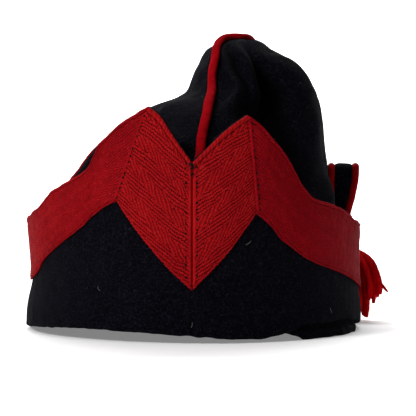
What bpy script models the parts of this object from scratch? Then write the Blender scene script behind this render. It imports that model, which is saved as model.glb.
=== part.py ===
"""Side cap: a tall soft crown that rises out of a laced turn-up and ends in a tassel.

Metres, +Z up. The cap stands on its head opening, whose centre is the origin. The front seam
faces -Y and +X is on the viewer's right. A turn is an angle around the cap, 0 at the front
seam and growing towards +X.
"""
import math

import bmesh
import bpy
from mathutils import Vector

# Main sizes
HALF_WIDTH = 0.086
HALF_DEPTH = 0.096
PEAK_HEIGHT = 0.112
CROWN_HEIGHT = 0.150
FOLD_DEPTH = 0.015

# Cloth, lace and cord
TURBAN_THICK = 0.0030
LACE_THICK = 0.0010
BAND_THICK = 0.0018
CROWN_THICK = 0.0018
TAIL_THICK = 0.0032
PIPING_WIDTH = 0.0050
PIPING_RISE = 0.0029
SEWN_GAP = 0.0003
LACE_GAP = 0.0004
SEAM_GAP = 0.0004
LAID_GAP = 0.0004
CORD_GAP = 0.0006
TAIL_GAP = 0.0008
BESIDE_GAP = 0.0008
RIM_ABOVE_LACE = 0.0006
# The rim stands higher above the lace at one place on the left slope
BARE_RIM = 0.0036
BARE_TURN = -36.5
BARE_SPREAD = 3.0
RIM_ROUND = 0.0009

# Turban and band
SIDE_LEAN = 0.0016
LEAN_START = 0.010
LEAN_END = 0.030
WAIST_DEPTH = 0.0016
WAIST_HEIGHT = 0.033
WAIST_SPREAD = 0.015
BAND_HEIGHT = 0.034
BAND_BULGE = 0.0026
LIFT = 0.0080

# Strip and tassel
STRIP_WIDTH = 0.0120
STRIP_THICK = 0.0034
STRIP_CORD = 0.0036
TASSEL_DROP = 0.0360
TASSEL_SPREAD = 0.0125
HEAD_RADIUS = 0.0044
LOCK_RADIUS = 0.0021
LOCK_ROOT = 0.0012  # how far from the head's middle the locks begin

# Fineness of the faceted surfaces
MAX_STEP = 5.1  # widest step between the columns of the turban and the lace, in degrees
BAND_COLUMNS = 60
LACE_SHARES = (0.0, 0.25, 0.50, 0.75, 1.0)
ROUTE_PARTS = 2
TAIL_PARTS = 4
CORD_SIDES = 7
HEAD_SIDES = 10
HEAD_RINGS = 6
LOCK_SIDES = 5

# Colours
NAVY = (0.012, 0.013, 0.022)
RED = (0.40, 0.018, 0.020)
CORD_RED = (0.42, 0.014, 0.020)
YARN_RED = (0.26, 0.006, 0.014)

# Lace on the wearer's right half, which is the viewer's left, from the front seam to the back.
# Turns in degrees, heights as shares of PEAK_HEIGHT.
# columns: turn of the top edge, top, turn of the lower edge, low
LACE_LEFT = [
    (0.0, 0.770, 0.0, 0.230),
    (-3.5, 0.831, -6.5, 0.308),
    (-7.0, 0.901, -12.0, 0.388),
    (-10.5, 0.970, -18.7, 0.496),
    (-14.0, 1.006, -24.5, 0.606),
    (-18.5, 0.971, -27.0, 0.592),
    (-23.5, 0.931, -30.0, 0.572),
    (-27.0, 0.890, -32.5, 0.550),
    (-31.0, 0.835, -35.0, 0.528),
    (-35.5, 0.746, -38.0, 0.496),
    (-40.0, 0.710, -41.5, 0.468),
    (-48.0, 0.668, -48.0, 0.423),
    (-55.5, 0.623, -56.0, 0.371),
    (-61.5, 0.576, -62.0, 0.334),
    (-68.0, 0.550, -68.0, 0.282),
    (-75.0, 0.527, -75.0, 0.250),
    (-90.0, 0.500, -90.0, 0.225),
    (-105.0, 0.520, -105.0, 0.240),
    (-120.0, 0.600, -120.0, 0.310),
    (-130.0, 0.696, -130.0, 0.410),
    (-140.0, 0.824, -139.0, 0.510),
    (-150.0, 0.926, -148.0, 0.570),
    (-166.0, 1.040, -155.5, 0.630),
    (-173.0, 0.920, -168.0, 0.430),
    (-180.0, 0.800, -180.0, 0.240),
]
LACE_RIGHT = [
    (0.0, 0.770, 0.0, 0.230),
    (4.5, 0.826, 5.2, 0.301),
    (9.0, 0.886, 10.5, 0.376),
    (13.2, 0.931, 15.5, 0.462),
    (17.5, 0.969, 20.5, 0.553),
    (21.5, 0.935, 23.5, 0.525),
    (25.5, 0.880, 26.5, 0.490),
    (29.0, 0.832, 30.0, 0.437),
    (33.0, 0.766, 33.5, 0.408),
    (37.0, 0.679, 37.0, 0.376),
    (43.0, 0.612, 43.0, 0.337),
    (52.5, 0.585, 52.5, 0.302),
    (63.0, 0.548, 63.0, 0.268),
    (72.5, 0.508, 73.0, 0.234),
    (90.0, 0.482, 90.0, 0.190),
    (105.0, 0.500, 105.0, 0.210),
    (120.0, 0.570, 120.0, 0.280),
    (130.0, 0.660, 130.0, 0.380),
    (140.0, 0.790, 139.0, 0.490),
    (150.0, 0.900, 148.0, 0.560),
    (166.0, 1.000, 155.5, 0.620),
    (173.0, 0.900, 168.0, 0.430),
    (180.0, 0.800, 180.0, 0.240),
]

# Waves of the lower edges, as shares of LIFT.
# columns: turn, turban edge, band edge
EDGE_WAVES = [
    (-180.0, 0.00, 0.00),
    (-105.0, 0.00, 0.00),
    (-95.0, 0.04, 0.00),
    (-84.0, 0.22, 0.20),
    (-70.0, 0.40, 0.38),
    (-55.0, 0.58, 0.56),
    (-37.0, 0.71, 0.69),
    (-21.0, 0.64, 0.62),
    (-8.0, 0.52, 0.50),
    (0.0, 0.46, 0.44),
    (6.0, 0.36, 0.34),
    (12.0, 0.24, 0.22),
    (20.0, 0.21, 0.19),
    (28.0, 0.33, 0.31),
    (33.0, 0.50, 0.44),
    (37.0, 0.72, 0.26),
    (41.0, 1.00, 0.00),
    (51.0, 0.94, 0.00),
    (60.0, 1.00, 0.00),
    (73.0, 0.75, 0.00),
    (85.0, 0.45, 0.00),
    (95.0, 0.20, 0.00),
    (105.0, 0.00, 0.00),
    (180.0, 0.00, 0.00),
]

# Level sections through the crown.
# columns: height as a share of CROWN_HEIGHT, left and right side as shares of HALF_WIDTH,
# front and rear as shares of HALF_DEPTH
CROWN_ROWS = [
    (0.300, -0.893, 0.820, -0.935, 0.935),
    (0.387, -0.880, 0.785, -0.922, 0.917),
    (0.450, -0.800, 0.788, -0.912, 0.900),
    (0.520, -0.698, 0.797, -0.901, 0.875),
    (0.613, -0.547, 0.780, -0.833, 0.792),
    (0.693, -0.395, 0.770, -0.760, 0.698),
    (0.747, -0.291, 0.758, -0.698, 0.625),
    (0.773, -0.198, 0.750, -0.656, 0.573),
    (0.793, -0.100, 0.738, -0.625, 0.531),
    (0.813, -0.044, 0.729, -0.600, 0.500),
    (0.847, -0.022, 0.696, -0.562, 0.438),
    (0.880, -0.006, 0.652, -0.520, 0.365),
    (0.908, 0.024, 0.594, -0.480, 0.280),
    (0.933, 0.046, 0.528, -0.443, 0.198),
    (0.957, 0.078, 0.474, -0.396, 0.104),
    (0.971, 0.116, 0.440, -0.354, 0.030),
    (0.981, 0.162, 0.412, -0.315, -0.050),
    (0.988, 0.212, 0.375, -0.275, -0.130),
]
CROWN_POLE = (0.290, -0.205, 0.986)

# Gathers and billows of the crown. Each runs between a turn at the low height and one at the
# high height, and fades in and out between two heights.
# columns: low turn, high turn, low spread, high spread, depth as a share of FOLD_DEPTH, start, end
LOW_FOLD = 0.747
HIGH_FOLD = 0.957
CROWN_FOLDS = [
    (-10.5, -36.0, 3.5, 6.0, -0.14, 0.60, 1.00),
    (-4.0, -29.0, 4.0, 5.5, 0.22, 0.62, 1.00),
    (9.0, -21.0, 4.5, 5.5, -0.34, 0.64, 1.00),
    (9.0, -5.0, 4.0, 6.5, 0.26, 0.72, 1.00),
    (13.0, 17.0, 4.0, 7.0, -0.34, 0.72, 1.00),
    (29.0, 12.0, 11.0, 9.0, -0.95, 0.44, 0.93),
    (58.0, 56.0, 13.0, 14.0, 0.16, 0.45, 0.98),
    (77.0, 77.0, 7.0, 7.0, 0.46, 0.34, 0.55),
    (-51.0, -101.0, 6.0, 9.0, 0.12, 0.62, 0.84),
    (-60.0, -112.0, 6.0, 9.0, -0.12, 0.62, 0.84),
    (150.0, 160.0, 14.0, 16.0, -0.16, 0.45, 0.95),
    (-120.0, -100.0, 12.0, 14.0, -0.16, 0.45, 0.95),
]
FOLD_RAMP = 0.10

# Seam routes on the crown, whose top above DOME_START is nearly level.
# columns: turn, height as a share of CROWN_HEIGHT
DOME_START = 0.965
FRONT_ROUTE = [
    (-2.5, 0.470), (-3.0, 0.520), (-4.0, 0.570), (-5.5, 0.607), (-9.0, 0.655), (-12.0, 0.700),
    (-14.0, 0.730), (-16.5, 0.750), (-21.5, 0.772), (-28.0, 0.789), (-33.5, 0.805),
    (-36.5, 0.830), (-37.2, 0.865), (-37.8, 0.900), (-38.5, 0.930), (-41.0, 0.952),
    (-46.0, 0.970), (-57.0, 0.982), (-75.0, 0.988),
]
FALL_ROUTE = [
    (158.0, 0.988), (154.0, 0.981), (147.0, 0.965), (138.0, 0.940), (127.0, 0.890),
    (117.0, 0.800), (110.5, 0.720), (106.0, 0.650), (105.5, 0.600), (107.5, 0.520),
    (109.0, 0.400),
]
REAR_ROUTE = [
    (180.0, 0.480), (180.0, 0.600), (181.0, 0.700), (184.0, 0.790), (190.0, 0.870),
    (198.0, 0.920), (206.0, 0.955),
]

# The tail's rear edge on the crown. Its front edge keeps beside the falling seam.
# columns: height as a share of CROWN_HEIGHT, rear turn, thickness as a share of TAIL_THICK
TAIL_ROWS = [
    (0.360, 119.0, 0.80),
    (0.420, 122.0, 1.00),
    (0.520, 128.0, 1.00),
    (0.613, 134.0, 1.00),
    (0.693, 141.0, 1.00),
    (0.800, 150.0, 1.00),
    (0.880, 157.0, 1.00),
    (0.930, 164.0, 1.00),
    (0.945, 167.0, 0.75),
    (0.958, 172.0, 0.40),
]

# The strip's path over the turban's wall, from the hollow behind it (reach -1) to its outside
# (reach 1), where it comes clear of the turban or of the lace by STRIP_REACH.
# Heights are shares of PEAK_HEIGHT, widths shares of STRIP_WIDTH. The heading is that of the
# width, in degrees from +X, and the lean is how far the outer face has turned upwards.
# columns: turn, reach, height, width, heading, lean
STRIP_REACH = 0.071 * HALF_WIDTH
STRIP_ROWS = [
    (92.0, -1.00, 0.442, 0.52, 0.0, 0.0),
    (92.3, -0.95, 0.516, 0.57, 0.0, 0.0),
    (92.6, -0.79, 0.616, 0.86, 0.0, 5.0),
    (93.3, -0.67, 0.696, 1.00, 0.0, 20.0),
    (95.1, -0.61, 0.737, 1.00, -3.0, 55.0),
    (98.0, -0.54, 0.746, 1.00, -8.0, 90.0),
    (103.5, -0.50, 0.720, 1.00, -26.0, 130.0),
    (110.5, -0.34, 0.664, 0.95, -52.0, 155.0),
    (115.5, 0.24, 0.598, 0.90, -70.0, 170.0),
    (118.0, 0.80, 0.500, 0.85, -70.0, 178.0),
    (119.5, 1.00, 0.393, 0.70, -66.0, 180.0),
]

# Locks of the tassel: heading in degrees from +X, reach as a share of TASSEL_SPREAD and length
# as a share of TASSEL_DROP.
# columns: heading, reach, length
LOCK_ROWS = [
    (20.0, 0.70, 0.80), (50.0, 0.40, 0.98), (75.0, 0.70, 0.90), (100.0, 0.45, 0.96),
    (292.0, 0.55, 0.98), (297.0, 1.20, 0.86), (301.0, 1.00, 0.98), (306.0, 1.65, 0.66),
    (312.0, 1.60, 0.70), (318.0, 1.82, 0.62), (324.0, 1.08, 1.02), (331.0, 1.50, 0.66),
    (340.0, 0.90, 0.96), (352.0, 1.35, 0.64), (330.0, 0.15, 0.98),
]


def clear_scene():
    """Remove the objects a new file starts with."""
    for thing in list(bpy.data.objects):
        bpy.data.objects.remove(thing, do_unlink=True)


def smoothstep(low, high, value):
    """Blend from 0 at low to 1 at high."""
    share = min(1.0, max(0.0, (value - low) / (high - low)))
    return share * share * (3.0 - 2.0 * share)


def linear(rows, column, key):
    """Value of a column at a key, straight between rows sorted by their first column."""
    if key <= rows[0][0]:
        return rows[0][column]
    for lower, upper in zip(rows, rows[1:]):
        if key <= upper[0]:
            share = (key - lower[0]) / (upper[0] - lower[0])
            return lower[column] + (upper[column] - lower[column]) * share
    return rows[-1][column]


def smooth_curve(rows, column, key_column=0):
    """Function that runs through a column of a table in a smooth curve with no overshoot."""
    rows = sorted(rows, key=lambda row: row[key_column])
    keys = [row[key_column] for row in rows]
    values = [row[column] for row in rows]
    spans = [upper - lower for lower, upper in zip(keys, keys[1:])]
    steps = [(upper - lower) / span for lower, upper, span in zip(values, values[1:], spans)]
    slopes = [steps[0]]
    for before, after in zip(steps, steps[1:]):
        same_way = before * after > 0.0
        slopes.append(2.0 * before * after / (before + after) if same_way else 0.0)
    slopes.append(steps[-1])

    def value(key):
        key = min(keys[-1], max(keys[0], key))
        index = 0
        while index < len(spans) - 1 and key > keys[index + 1]:
            index += 1
        span = spans[index]
        share = (key - keys[index]) / span
        rest = 1.0 - share
        return (values[index] * rest * rest * (1.0 + 2.0 * share)
                + values[index + 1] * share * share * (1.0 + 2.0 * rest)
                + span * share * rest * (slopes[index] * rest - slopes[index + 1] * share))

    return value


crown_left = smooth_curve(CROWN_ROWS, 1)
crown_right = smooth_curve(CROWN_ROWS, 2)
crown_front = smooth_curve(CROWN_ROWS, 3)
crown_rear = smooth_curve(CROWN_ROWS, 4)
falling_turn = smooth_curve(FALL_ROUTE, 0, key_column=1)


def wall_point(turn, height, out):
    """Point on the turban's wall, moved outwards from its face."""
    angle = math.radians(turn)
    normal = Vector((math.sin(angle) * HALF_DEPTH, -math.cos(angle) * HALF_WIDTH, 0.0)).normalized()
    side = abs(math.sin(angle)) ** 3
    waist = SIDE_LEAN * side * smoothstep(LEAN_START, LEAN_END, height)
    if turn < 0.0:
        waist += WAIST_DEPTH * side * math.exp(-((height - WAIST_HEIGHT) / WAIST_SPREAD) ** 2)
    base = Vector((math.sin(angle) * HALF_WIDTH, -math.cos(angle) * HALF_DEPTH, height))
    return base + normal * (out - waist)


def fold_rise(turn, share):
    """How far the gathers and billows move the crown's cloth outwards."""
    rise = 0.0
    along = (share - LOW_FOLD) / (HIGH_FOLD - LOW_FOLD)
    for low_turn, high_turn, low_spread, high_spread, depth, start, end in CROWN_FOLDS:
        middle = low_turn + (high_turn - low_turn) * along
        spread = low_spread + (high_spread - low_spread) * min(1.2, max(-0.3, along))
        away = (turn - middle + 180.0) % 360.0 - 180.0
        window = smoothstep(start, start + FOLD_RAMP, share) * (1.0 - smoothstep(end - FOLD_RAMP, end, share))
        rise += depth * window * math.exp(-0.5 * (away / spread) ** 2)
    return rise * FOLD_DEPTH


def crown_base(turn, share):
    """Point on the crown before it is gathered."""
    left = crown_left(share) * HALF_WIDTH
    right = crown_right(share) * HALF_WIDTH
    front = crown_front(share) * HALF_DEPTH
    rear = crown_rear(share) * HALF_DEPTH
    angle = math.radians(turn)
    return Vector((
        0.5 * (left + right) + 0.5 * (right - left) * math.sin(angle),
        0.5 * (front + rear) - 0.5 * (rear - front) * math.cos(angle),
        share * CROWN_HEIGHT,
    ))


# Steps of turn and height over which directions on the crown are measured
TURN_STEP = 0.6
SHARE_STEP = 0.004


def crown_normal(turn, share):
    """Outward direction of the crown before it is gathered."""
    low = max(CROWN_ROWS[0][0], share - SHARE_STEP)
    high = min(CROWN_ROWS[-1][0], share + SHARE_STEP)
    along = crown_base(turn, high) - crown_base(turn, low)
    around = crown_base(turn + TURN_STEP, share) - crown_base(turn - TURN_STEP, share)
    return around.cross(along).normalized()


def crown_point(turn, share, out):
    """Point on the gathered crown, moved outwards from its face."""
    return crown_base(turn, share) + crown_normal(turn, share) * (fold_rise(turn, share) + out)


def crown_pole(out):
    """Top point of the crown."""
    x, y, z = CROWN_POLE
    return Vector((x * HALF_WIDTH, y * HALF_DEPTH, z * CROWN_HEIGHT + out))


def crown_foot(turn, out):
    """Point on the crown's lower edge, which is sewn to the top of the inner band."""
    return wall_point(turn, BAND_HEIGHT + SEWN_GAP, out - TURBAN_THICK - LAID_GAP)


def circle(centre, across, side, radius, count):
    """Ring of points around a centre, in the plane of two directions."""
    ring = []
    for k in range(count):
        angle = 2.0 * math.pi * k / count
        ring.append(centre + across * (radius * math.cos(angle)) + side * (radius * math.sin(angle)))
    return ring


def finish_mesh(name, bm, colour):
    """Turn a bmesh into a named object with its own material."""
    bmesh.ops.recalc_face_normals(bm, faces=bm.faces)
    mesh = bpy.data.meshes.new(name)
    bm.to_mesh(mesh)
    bm.free()
    for polygon in mesh.polygons:
        polygon.use_smooth = True
    material = bpy.data.materials.new(name)
    material.use_nodes = True
    shader = material.node_tree.nodes["Principled BSDF"]
    shader.inputs["Base Color"].default_value = (*colour, 1.0)
    shader.inputs["Roughness"].default_value = 0.9
    mesh.materials.append(material)
    thing = bpy.data.objects.new(name, mesh)
    bpy.context.scene.collection.objects.link(thing)
    return thing


def skin_rings(bm, rings, closed_rows):
    """Join rings of points into a surface: each ring is closed, rows of rings may be too."""
    grid = [[bm.verts.new(point) for point in ring] for ring in rings]
    pairs = list(zip(grid, grid[1:]))
    if closed_rows:
        pairs.append((grid[-1], grid[0]))
    for lower, upper in pairs:
        count = len(lower)
        for i in range(count):
            j = (i + 1) % count
            bm.faces.new((lower[i], lower[j], upper[j], upper[i]))
    return grid


def cap_ring(bm, ring):
    """Close the end of a tube with a fan of triangles."""
    middle = bm.verts.new(sum((v.co for v in ring), Vector()) / len(ring))
    for i, vertex in enumerate(ring):
        bm.faces.new((vertex, ring[(i + 1) % len(ring)], middle))


def make_loop_solid(name, sections, colour):
    """Closed hoop: sections follow each other all round."""
    bm = bmesh.new()
    skin_rings(bm, sections, closed_rows=True)
    return finish_mesh(name, bm, colour)


def make_bar_solid(name, sections, colour):
    """Open bar: sections follow each other and both ends are closed."""
    bm = bmesh.new()
    grid = skin_rings(bm, sections, closed_rows=False)
    cap_ring(bm, grid[0])
    cap_ring(bm, grid[-1])
    return finish_mesh(name, bm, colour)


def refined(rows):
    """Rows of a lace table with straight in-between rows, so no step is wider than MAX_STEP."""
    result = [rows[0]]
    for lower, upper in zip(rows, rows[1:]):
        parts = max(1, math.ceil(abs(upper[0] - lower[0]) / MAX_STEP))
        for i in range(1, parts + 1):
            share = i / parts
            result.append(tuple(a + (b - a) * share for a, b in zip(lower, upper)))
    return result


def turban_columns():
    """Turns and top heights all round the turban, in order of turn."""
    left = [(row[0], row[1]) for row in refined(LACE_LEFT)]
    right = [(row[0], row[1]) for row in refined(LACE_RIGHT)]
    return sorted(left[:-1]) + right[1:]


# Rows of points up the turban's outer and inner face, as shares of its height
OUTER_SHARES = (0.24, 0.46, 0.66, 0.84)
INNER_SHARES = (0.62, 0.30)


def make_turban():
    """Turn-up with a rounded upper edge and a waved lower edge."""
    sections = []
    for turn, top_share in turban_columns():
        bare = BARE_RIM * math.exp(-((turn - BARE_TURN) / BARE_SPREAD) ** 2)
        top = top_share * PEAK_HEIGHT + RIM_ABOVE_LACE + bare
        foot = linear(EDGE_WAVES, 1, turn) * LIFT
        rise = top - foot
        thick = TURBAN_THICK
        loop = [(0.0, foot + RIM_ROUND)]
        loop += [(0.0, foot + share * rise) for share in OUTER_SHARES]
        loop += [(0.0, top - RIM_ROUND), (-RIM_ROUND, top), (RIM_ROUND - thick, top), (-thick, top - RIM_ROUND)]
        loop += [(-thick, foot + share * rise) for share in INNER_SHARES]
        loop += [(-thick, foot + RIM_ROUND), (RIM_ROUND - thick, foot), (-RIM_ROUND, foot)]
        sections.append([wall_point(turn, height, out) for out, height in loop])
    return make_loop_solid("turban", sections, NAVY)


def make_lace(name, rows):
    """Half of the lace, lying on the turban's wall."""
    sections = []
    way = math.copysign(1.0, rows[-1][0])
    seam_inset = math.degrees(0.5 * SEAM_GAP / HALF_WIDTH) * way
    rows = refined(rows)
    last = len(rows) - 1
    insets = {0: seam_inset, last: -seam_inset}
    for index, (top_turn, top, low_turn, low) in enumerate(rows):
        inset = insets.get(index, 0.0)
        points = []
        for share in LACE_SHARES:
            turn = low_turn + (top_turn - low_turn) * share + inset
            height = (low + (top - low) * share) * PEAK_HEIGHT
            points.append((turn, height))
        inner = LACE_GAP
        outer = LACE_GAP + LACE_THICK
        ring = [wall_point(turn, height, outer) for turn, height in points]
        ring += [wall_point(turn, height, inner) for turn, height in reversed(points)]
        sections.append(ring)
    return make_bar_solid(name, sections, RED)


def make_inner_band():
    """Inner layer of cloth, which bulges out under the turban's lifted edge."""
    sections = []
    low_bend = 0.1 * LIFT
    low_shoulder = 0.3 * LIFT
    for i in range(BAND_COLUMNS):
        turn = -180.0 + 360.0 * i / BAND_COLUMNS
        foot = linear(EDGE_WAVES, 2, turn) * LIFT
        room = linear(EDGE_WAVES, 1, turn) * LIFT - foot
        outer = -TURBAN_THICK - LAID_GAP
        inner = outer - BAND_THICK
        bulge = BAND_BULGE * smoothstep(0.3, 0.8, room / LIFT)
        bend = foot + max(0.45 * room, low_bend)
        shoulder = foot + max(room - SEWN_GAP, low_shoulder)
        loop = [
            (outer + bulge, foot), (outer + bulge, bend), (outer, shoulder), (outer, BAND_HEIGHT),
            (inner, BAND_HEIGHT), (inner, shoulder), (inner + bulge, bend), (inner + bulge, foot),
        ]
        sections.append([wall_point(turn, height, out) for out, height in loop])
    return make_loop_solid("inner_band", sections, NAVY)


def crown_turns():
    """Turns of the crown's columns, closer together across the gathers."""
    left = [-180.0 + 13.0 * i for i in range(9)]
    front = [-63.0 + 5.0 * i for i in range(26)]
    right = [72.0 + 10.0 * i for i in range(11)]
    return left + front + right


def make_crown():
    """Hollow bag, open at the bottom."""
    bm = bmesh.new()
    turns = crown_turns()
    shares = [row[0] for row in CROWN_ROWS]
    outer = [[crown_foot(turn, 0.0) for turn in turns]]
    outer += [[crown_point(turn, share, 0.0) for turn in turns] for share in shares]
    inner = [[crown_foot(turn, -CROWN_THICK) for turn in turns]]
    inner += [[crown_point(turn, share, -CROWN_THICK) for turn in turns] for share in shares]
    grid = skin_rings(bm, list(reversed(outer)) + inner, closed_rows=False)
    for ring, out in ((grid[0], 0.0), (grid[-1], -CROWN_THICK)):
        pole = bm.verts.new(crown_pole(out))
        for i, vertex in enumerate(ring):
            bm.faces.new((vertex, ring[(i + 1) % len(ring)], pole))
    return finish_mesh("crown", bm, NAVY)


def dense_shares(shares):
    """Heights with in-between heights."""
    result = [shares[0]]
    for lower, upper in zip(shares, shares[1:]):
        result += [lower + (upper - lower) * i / ROUTE_PARTS for i in range(1, ROUTE_PARTS + 1)]
    return result


def dense_route(route):
    """A route with in-between points on a smooth curve."""
    turn_at = smooth_curve(route, 0, key_column=1)
    return [(turn_at(share), share) for share in dense_shares([share for _, share in route])]


# Half-round section of a cord: across as a share of PIPING_WIDTH, height as a share of PIPING_RISE
CORD_LOOP = [
    (-0.50, 0.00), (-0.44, 0.55), (-0.20, 1.00), (0.20, 1.00), (0.44, 0.55), (0.50, 0.00), (0.00, 0.00),
]


def cord_section(route, index):
    """Half-round section of a cord that lies on the crown."""
    turn, share = route[index]
    before = route[max(0, index - 1)]
    after = route[min(len(route) - 1, index + 1)]
    centre = crown_point(turn, share, 0.0)
    along = (crown_point(*after, 0.0) - crown_point(*before, 0.0)).normalized()
    normal = crown_normal(turn, share)
    side = along.cross(normal).normalized()
    around = crown_point(turn + TURN_STEP, share, 0.0) - crown_point(turn - TURN_STEP, share, 0.0)
    upwards = crown_point(turn, share + SHARE_STEP, 0.0) - crown_point(turn, share - SHARE_STEP, 0.0)
    shear = around.dot(upwards)
    area = around.dot(around) * upwards.dot(upwards) - shear * shear
    section = []
    for across, height in CORD_LOOP:
        target = side * (across * PIPING_WIDTH)
        out = CORD_GAP + height * PIPING_RISE
        if share > DOME_START:
            section.append(centre + target + normal * out)
        else:
            # Steps of turn and height that lead from the cord's middle to the target on the crown
            turn_steps = upwards.dot(upwards) * around.dot(target) - shear * upwards.dot(target)
            share_steps = around.dot(around) * upwards.dot(target) - shear * around.dot(target)
            target_turn = turn + 2.0 * TURN_STEP * turn_steps / area
            target_share = share + 2.0 * SHARE_STEP * share_steps / area
            section.append(crown_point(target_turn, target_share, out))
    return section


def pole_section(route_before, route_after):
    """Section of the front cord where it crosses the top of the crown."""
    along = (crown_point(*route_after, 0.0) - crown_point(*route_before, 0.0)).normalized()
    normal = Vector((0.0, 0.0, 1.0))
    side = along.cross(normal).normalized()
    centre = crown_pole(0.0)
    return [centre + side * (across * PIPING_WIDTH) + normal * (CORD_GAP + height * PIPING_RISE)
            for across, height in CORD_LOOP]


def make_front_piping():
    """Cord up the front seam, over the top and down the tail's outer edge."""
    rise = FRONT_ROUTE
    fall = dense_route(FALL_ROUTE)
    sections = [cord_section(rise, i) for i in range(len(rise))]
    sections.append(pole_section(rise[-1], fall[0]))
    sections += [cord_section(fall, i) for i in range(len(fall))]
    return make_bar_solid("front_piping", sections, CORD_RED)


def make_route_piping(name, route):
    """Cord along one route on the crown."""
    points = dense_route(route)
    sections = [cord_section(points, i) for i in range(len(points))]
    return make_bar_solid(name, sections, CORD_RED)


def beside(turn, share, distance):
    """Degrees of turn that cover a distance around the crown at a height."""
    around = crown_base(turn + TURN_STEP, share) - crown_base(turn - TURN_STEP, share)
    return 2.0 * TURN_STEP * distance / around.length


def dense_tail():
    """Tail rows with in-between rows, and the front edge added."""
    rear_at = smooth_curve(TAIL_ROWS, 1)
    thick_at = smooth_curve(TAIL_ROWS, 2)
    result = []
    for share in dense_shares([row[0] for row in TAIL_ROWS]):
        seam = falling_turn(share)
        front = seam + beside(seam, share, 0.5 * PIPING_WIDTH + BESIDE_GAP)
        result.append((share, front, rear_at(share), thick_at(share)))
    return result


def tail_edge_route():
    """Route of the cord just behind the tail's rear edge."""
    distance = 0.5 * PIPING_WIDTH + BESIDE_GAP
    return [(rear + beside(rear, share, distance), share) for share, rear, _ in TAIL_ROWS]


# Thickness of the tail at its edges, as a share of its middle's
TAIL_EDGE = 0.45


def make_tail():
    """Flattened end of the bag, lying on the crown's right rear side."""
    sections = []
    for share, front, rear, thick in dense_tail():
        turns = [front + (rear - front) * part / TAIL_PARTS for part in range(TAIL_PARTS + 1)]
        ring = []
        for part, turn in enumerate(turns):
            edge = TAIL_EDGE if part in (0, TAIL_PARTS) else 1.0
            ring.append(crown_point(turn, share, TAIL_GAP + TAIL_THICK * thick * edge))
        ring += [crown_point(turn, share, TAIL_GAP) for turn in reversed(turns)]
        sections.append(ring)
    return make_bar_solid("tail", sections, NAVY)


def strip_frame(row):
    """Centre, width direction and outward direction of the strip at a row."""
    turn, reach, height, width, heading, lean = row
    layer = TURBAN_THICK if reach < 0.0 else LACE_GAP + LACE_THICK
    centre = wall_point(turn, height * PEAK_HEIGHT, reach * (STRIP_REACH + layer))
    angle = math.radians(heading)
    tilt = math.radians(lean)
    across = Vector((math.cos(angle), math.sin(angle), 0.0))
    level = Vector((math.sin(angle), -math.cos(angle), 0.0))
    out = level * math.cos(tilt) + Vector((0.0, 0.0, 1.0)) * math.sin(tilt)
    return centre, across, out, width


# Flat section of the strip: across and out as shares of half its width and thickness
STRIP_LOOP = [
    (-1.0, 0.5), (-0.8, 1.0), (0.0, 1.0), (0.8, 1.0), (1.0, 0.5),
    (1.0, -0.5), (0.8, -1.0), (0.0, -1.0), (-0.8, -1.0), (-1.0, -0.5),
]


def make_strip():
    """Flat tip of the tail, folded over the turban's edge."""
    sections = []
    for row in STRIP_ROWS:
        centre, across, out, width = strip_frame(row)
        half = 0.5 * STRIP_WIDTH * width - 0.5 * STRIP_CORD
        thick = 0.5 * STRIP_THICK
        sections.append([centre + across * (half * a) + out * (thick * b) for a, b in STRIP_LOOP])
    return make_bar_solid("strip", sections, NAVY)


def make_strip_piping(name, side):
    """Cord along one edge of the strip."""
    sections = []
    for row in STRIP_ROWS:
        centre, across, out, width = strip_frame(row)
        middle = centre + across * (side * (0.5 * STRIP_WIDTH * width + SEWN_GAP))
        sections.append(circle(middle, across, out, 0.5 * STRIP_CORD, CORD_SIDES))
    return make_bar_solid(name, sections, CORD_RED)


# Angle from the head's middle to its small flat ends, in degrees
HEAD_END_ANGLE = 78.5


def head_sections(centre):
    """Rings of the tassel's round head."""
    flat_end = math.sin(math.radians(HEAD_END_ANGLE))
    rings = []
    for i in range(HEAD_RINGS):
        rise = flat_end * (2.0 * i / (HEAD_RINGS - 1) - 1.0)
        radius = HEAD_RADIUS * math.sqrt(1.0 - rise * rise)
        middle = centre + Vector((0.0, 0.0, rise * HEAD_RADIUS))
        rings.append(circle(middle, Vector((1.0, 0.0, 0.0)), Vector((0.0, 1.0, 0.0)), radius, HEAD_SIDES))
    return rings


# Thickness of a lock from its root to its tip, as shares of LOCK_RADIUS
LOCK_GIRTHS = (0.82, 1.18, 1.30, 1.08, 0.52)


def lock_sections(top, heading, reach, length):
    """Rings of one bent, tapering lock of yarn, which swings out and then hangs."""
    angle = math.radians(heading)
    away = Vector((math.cos(angle), math.sin(angle), 0.0))
    side = Vector((-math.sin(angle), math.cos(angle), 0.0))
    rings = []
    for i, girth in enumerate(LOCK_GIRTHS):
        share = i / (len(LOCK_GIRTHS) - 1)
        spread = TASSEL_SPREAD * reach * math.sin(0.5 * math.pi * share)
        drop = TASSEL_DROP * length * share ** (1.0 + 0.25 * reach)
        centre = top + away * (LOCK_ROOT + spread) - Vector((0.0, 0.0, drop))
        rings.append(circle(centre, away, side, LOCK_RADIUS * girth, LOCK_SIDES))
    return rings


def solid_mesh(name, sections):
    """Mesh object of a capped bar, without a material."""
    bm = bmesh.new()
    grid = skin_rings(bm, sections, closed_rows=False)
    cap_ring(bm, grid[0])
    cap_ring(bm, grid[-1])
    bmesh.ops.recalc_face_normals(bm, faces=bm.faces)
    bmesh.ops.triangulate(bm, faces=bm.faces)
    mesh = bpy.data.meshes.new(name)
    bm.to_mesh(mesh)
    bm.free()
    thing = bpy.data.objects.new(name, mesh)
    bpy.context.scene.collection.objects.link(thing)
    return thing


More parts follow.
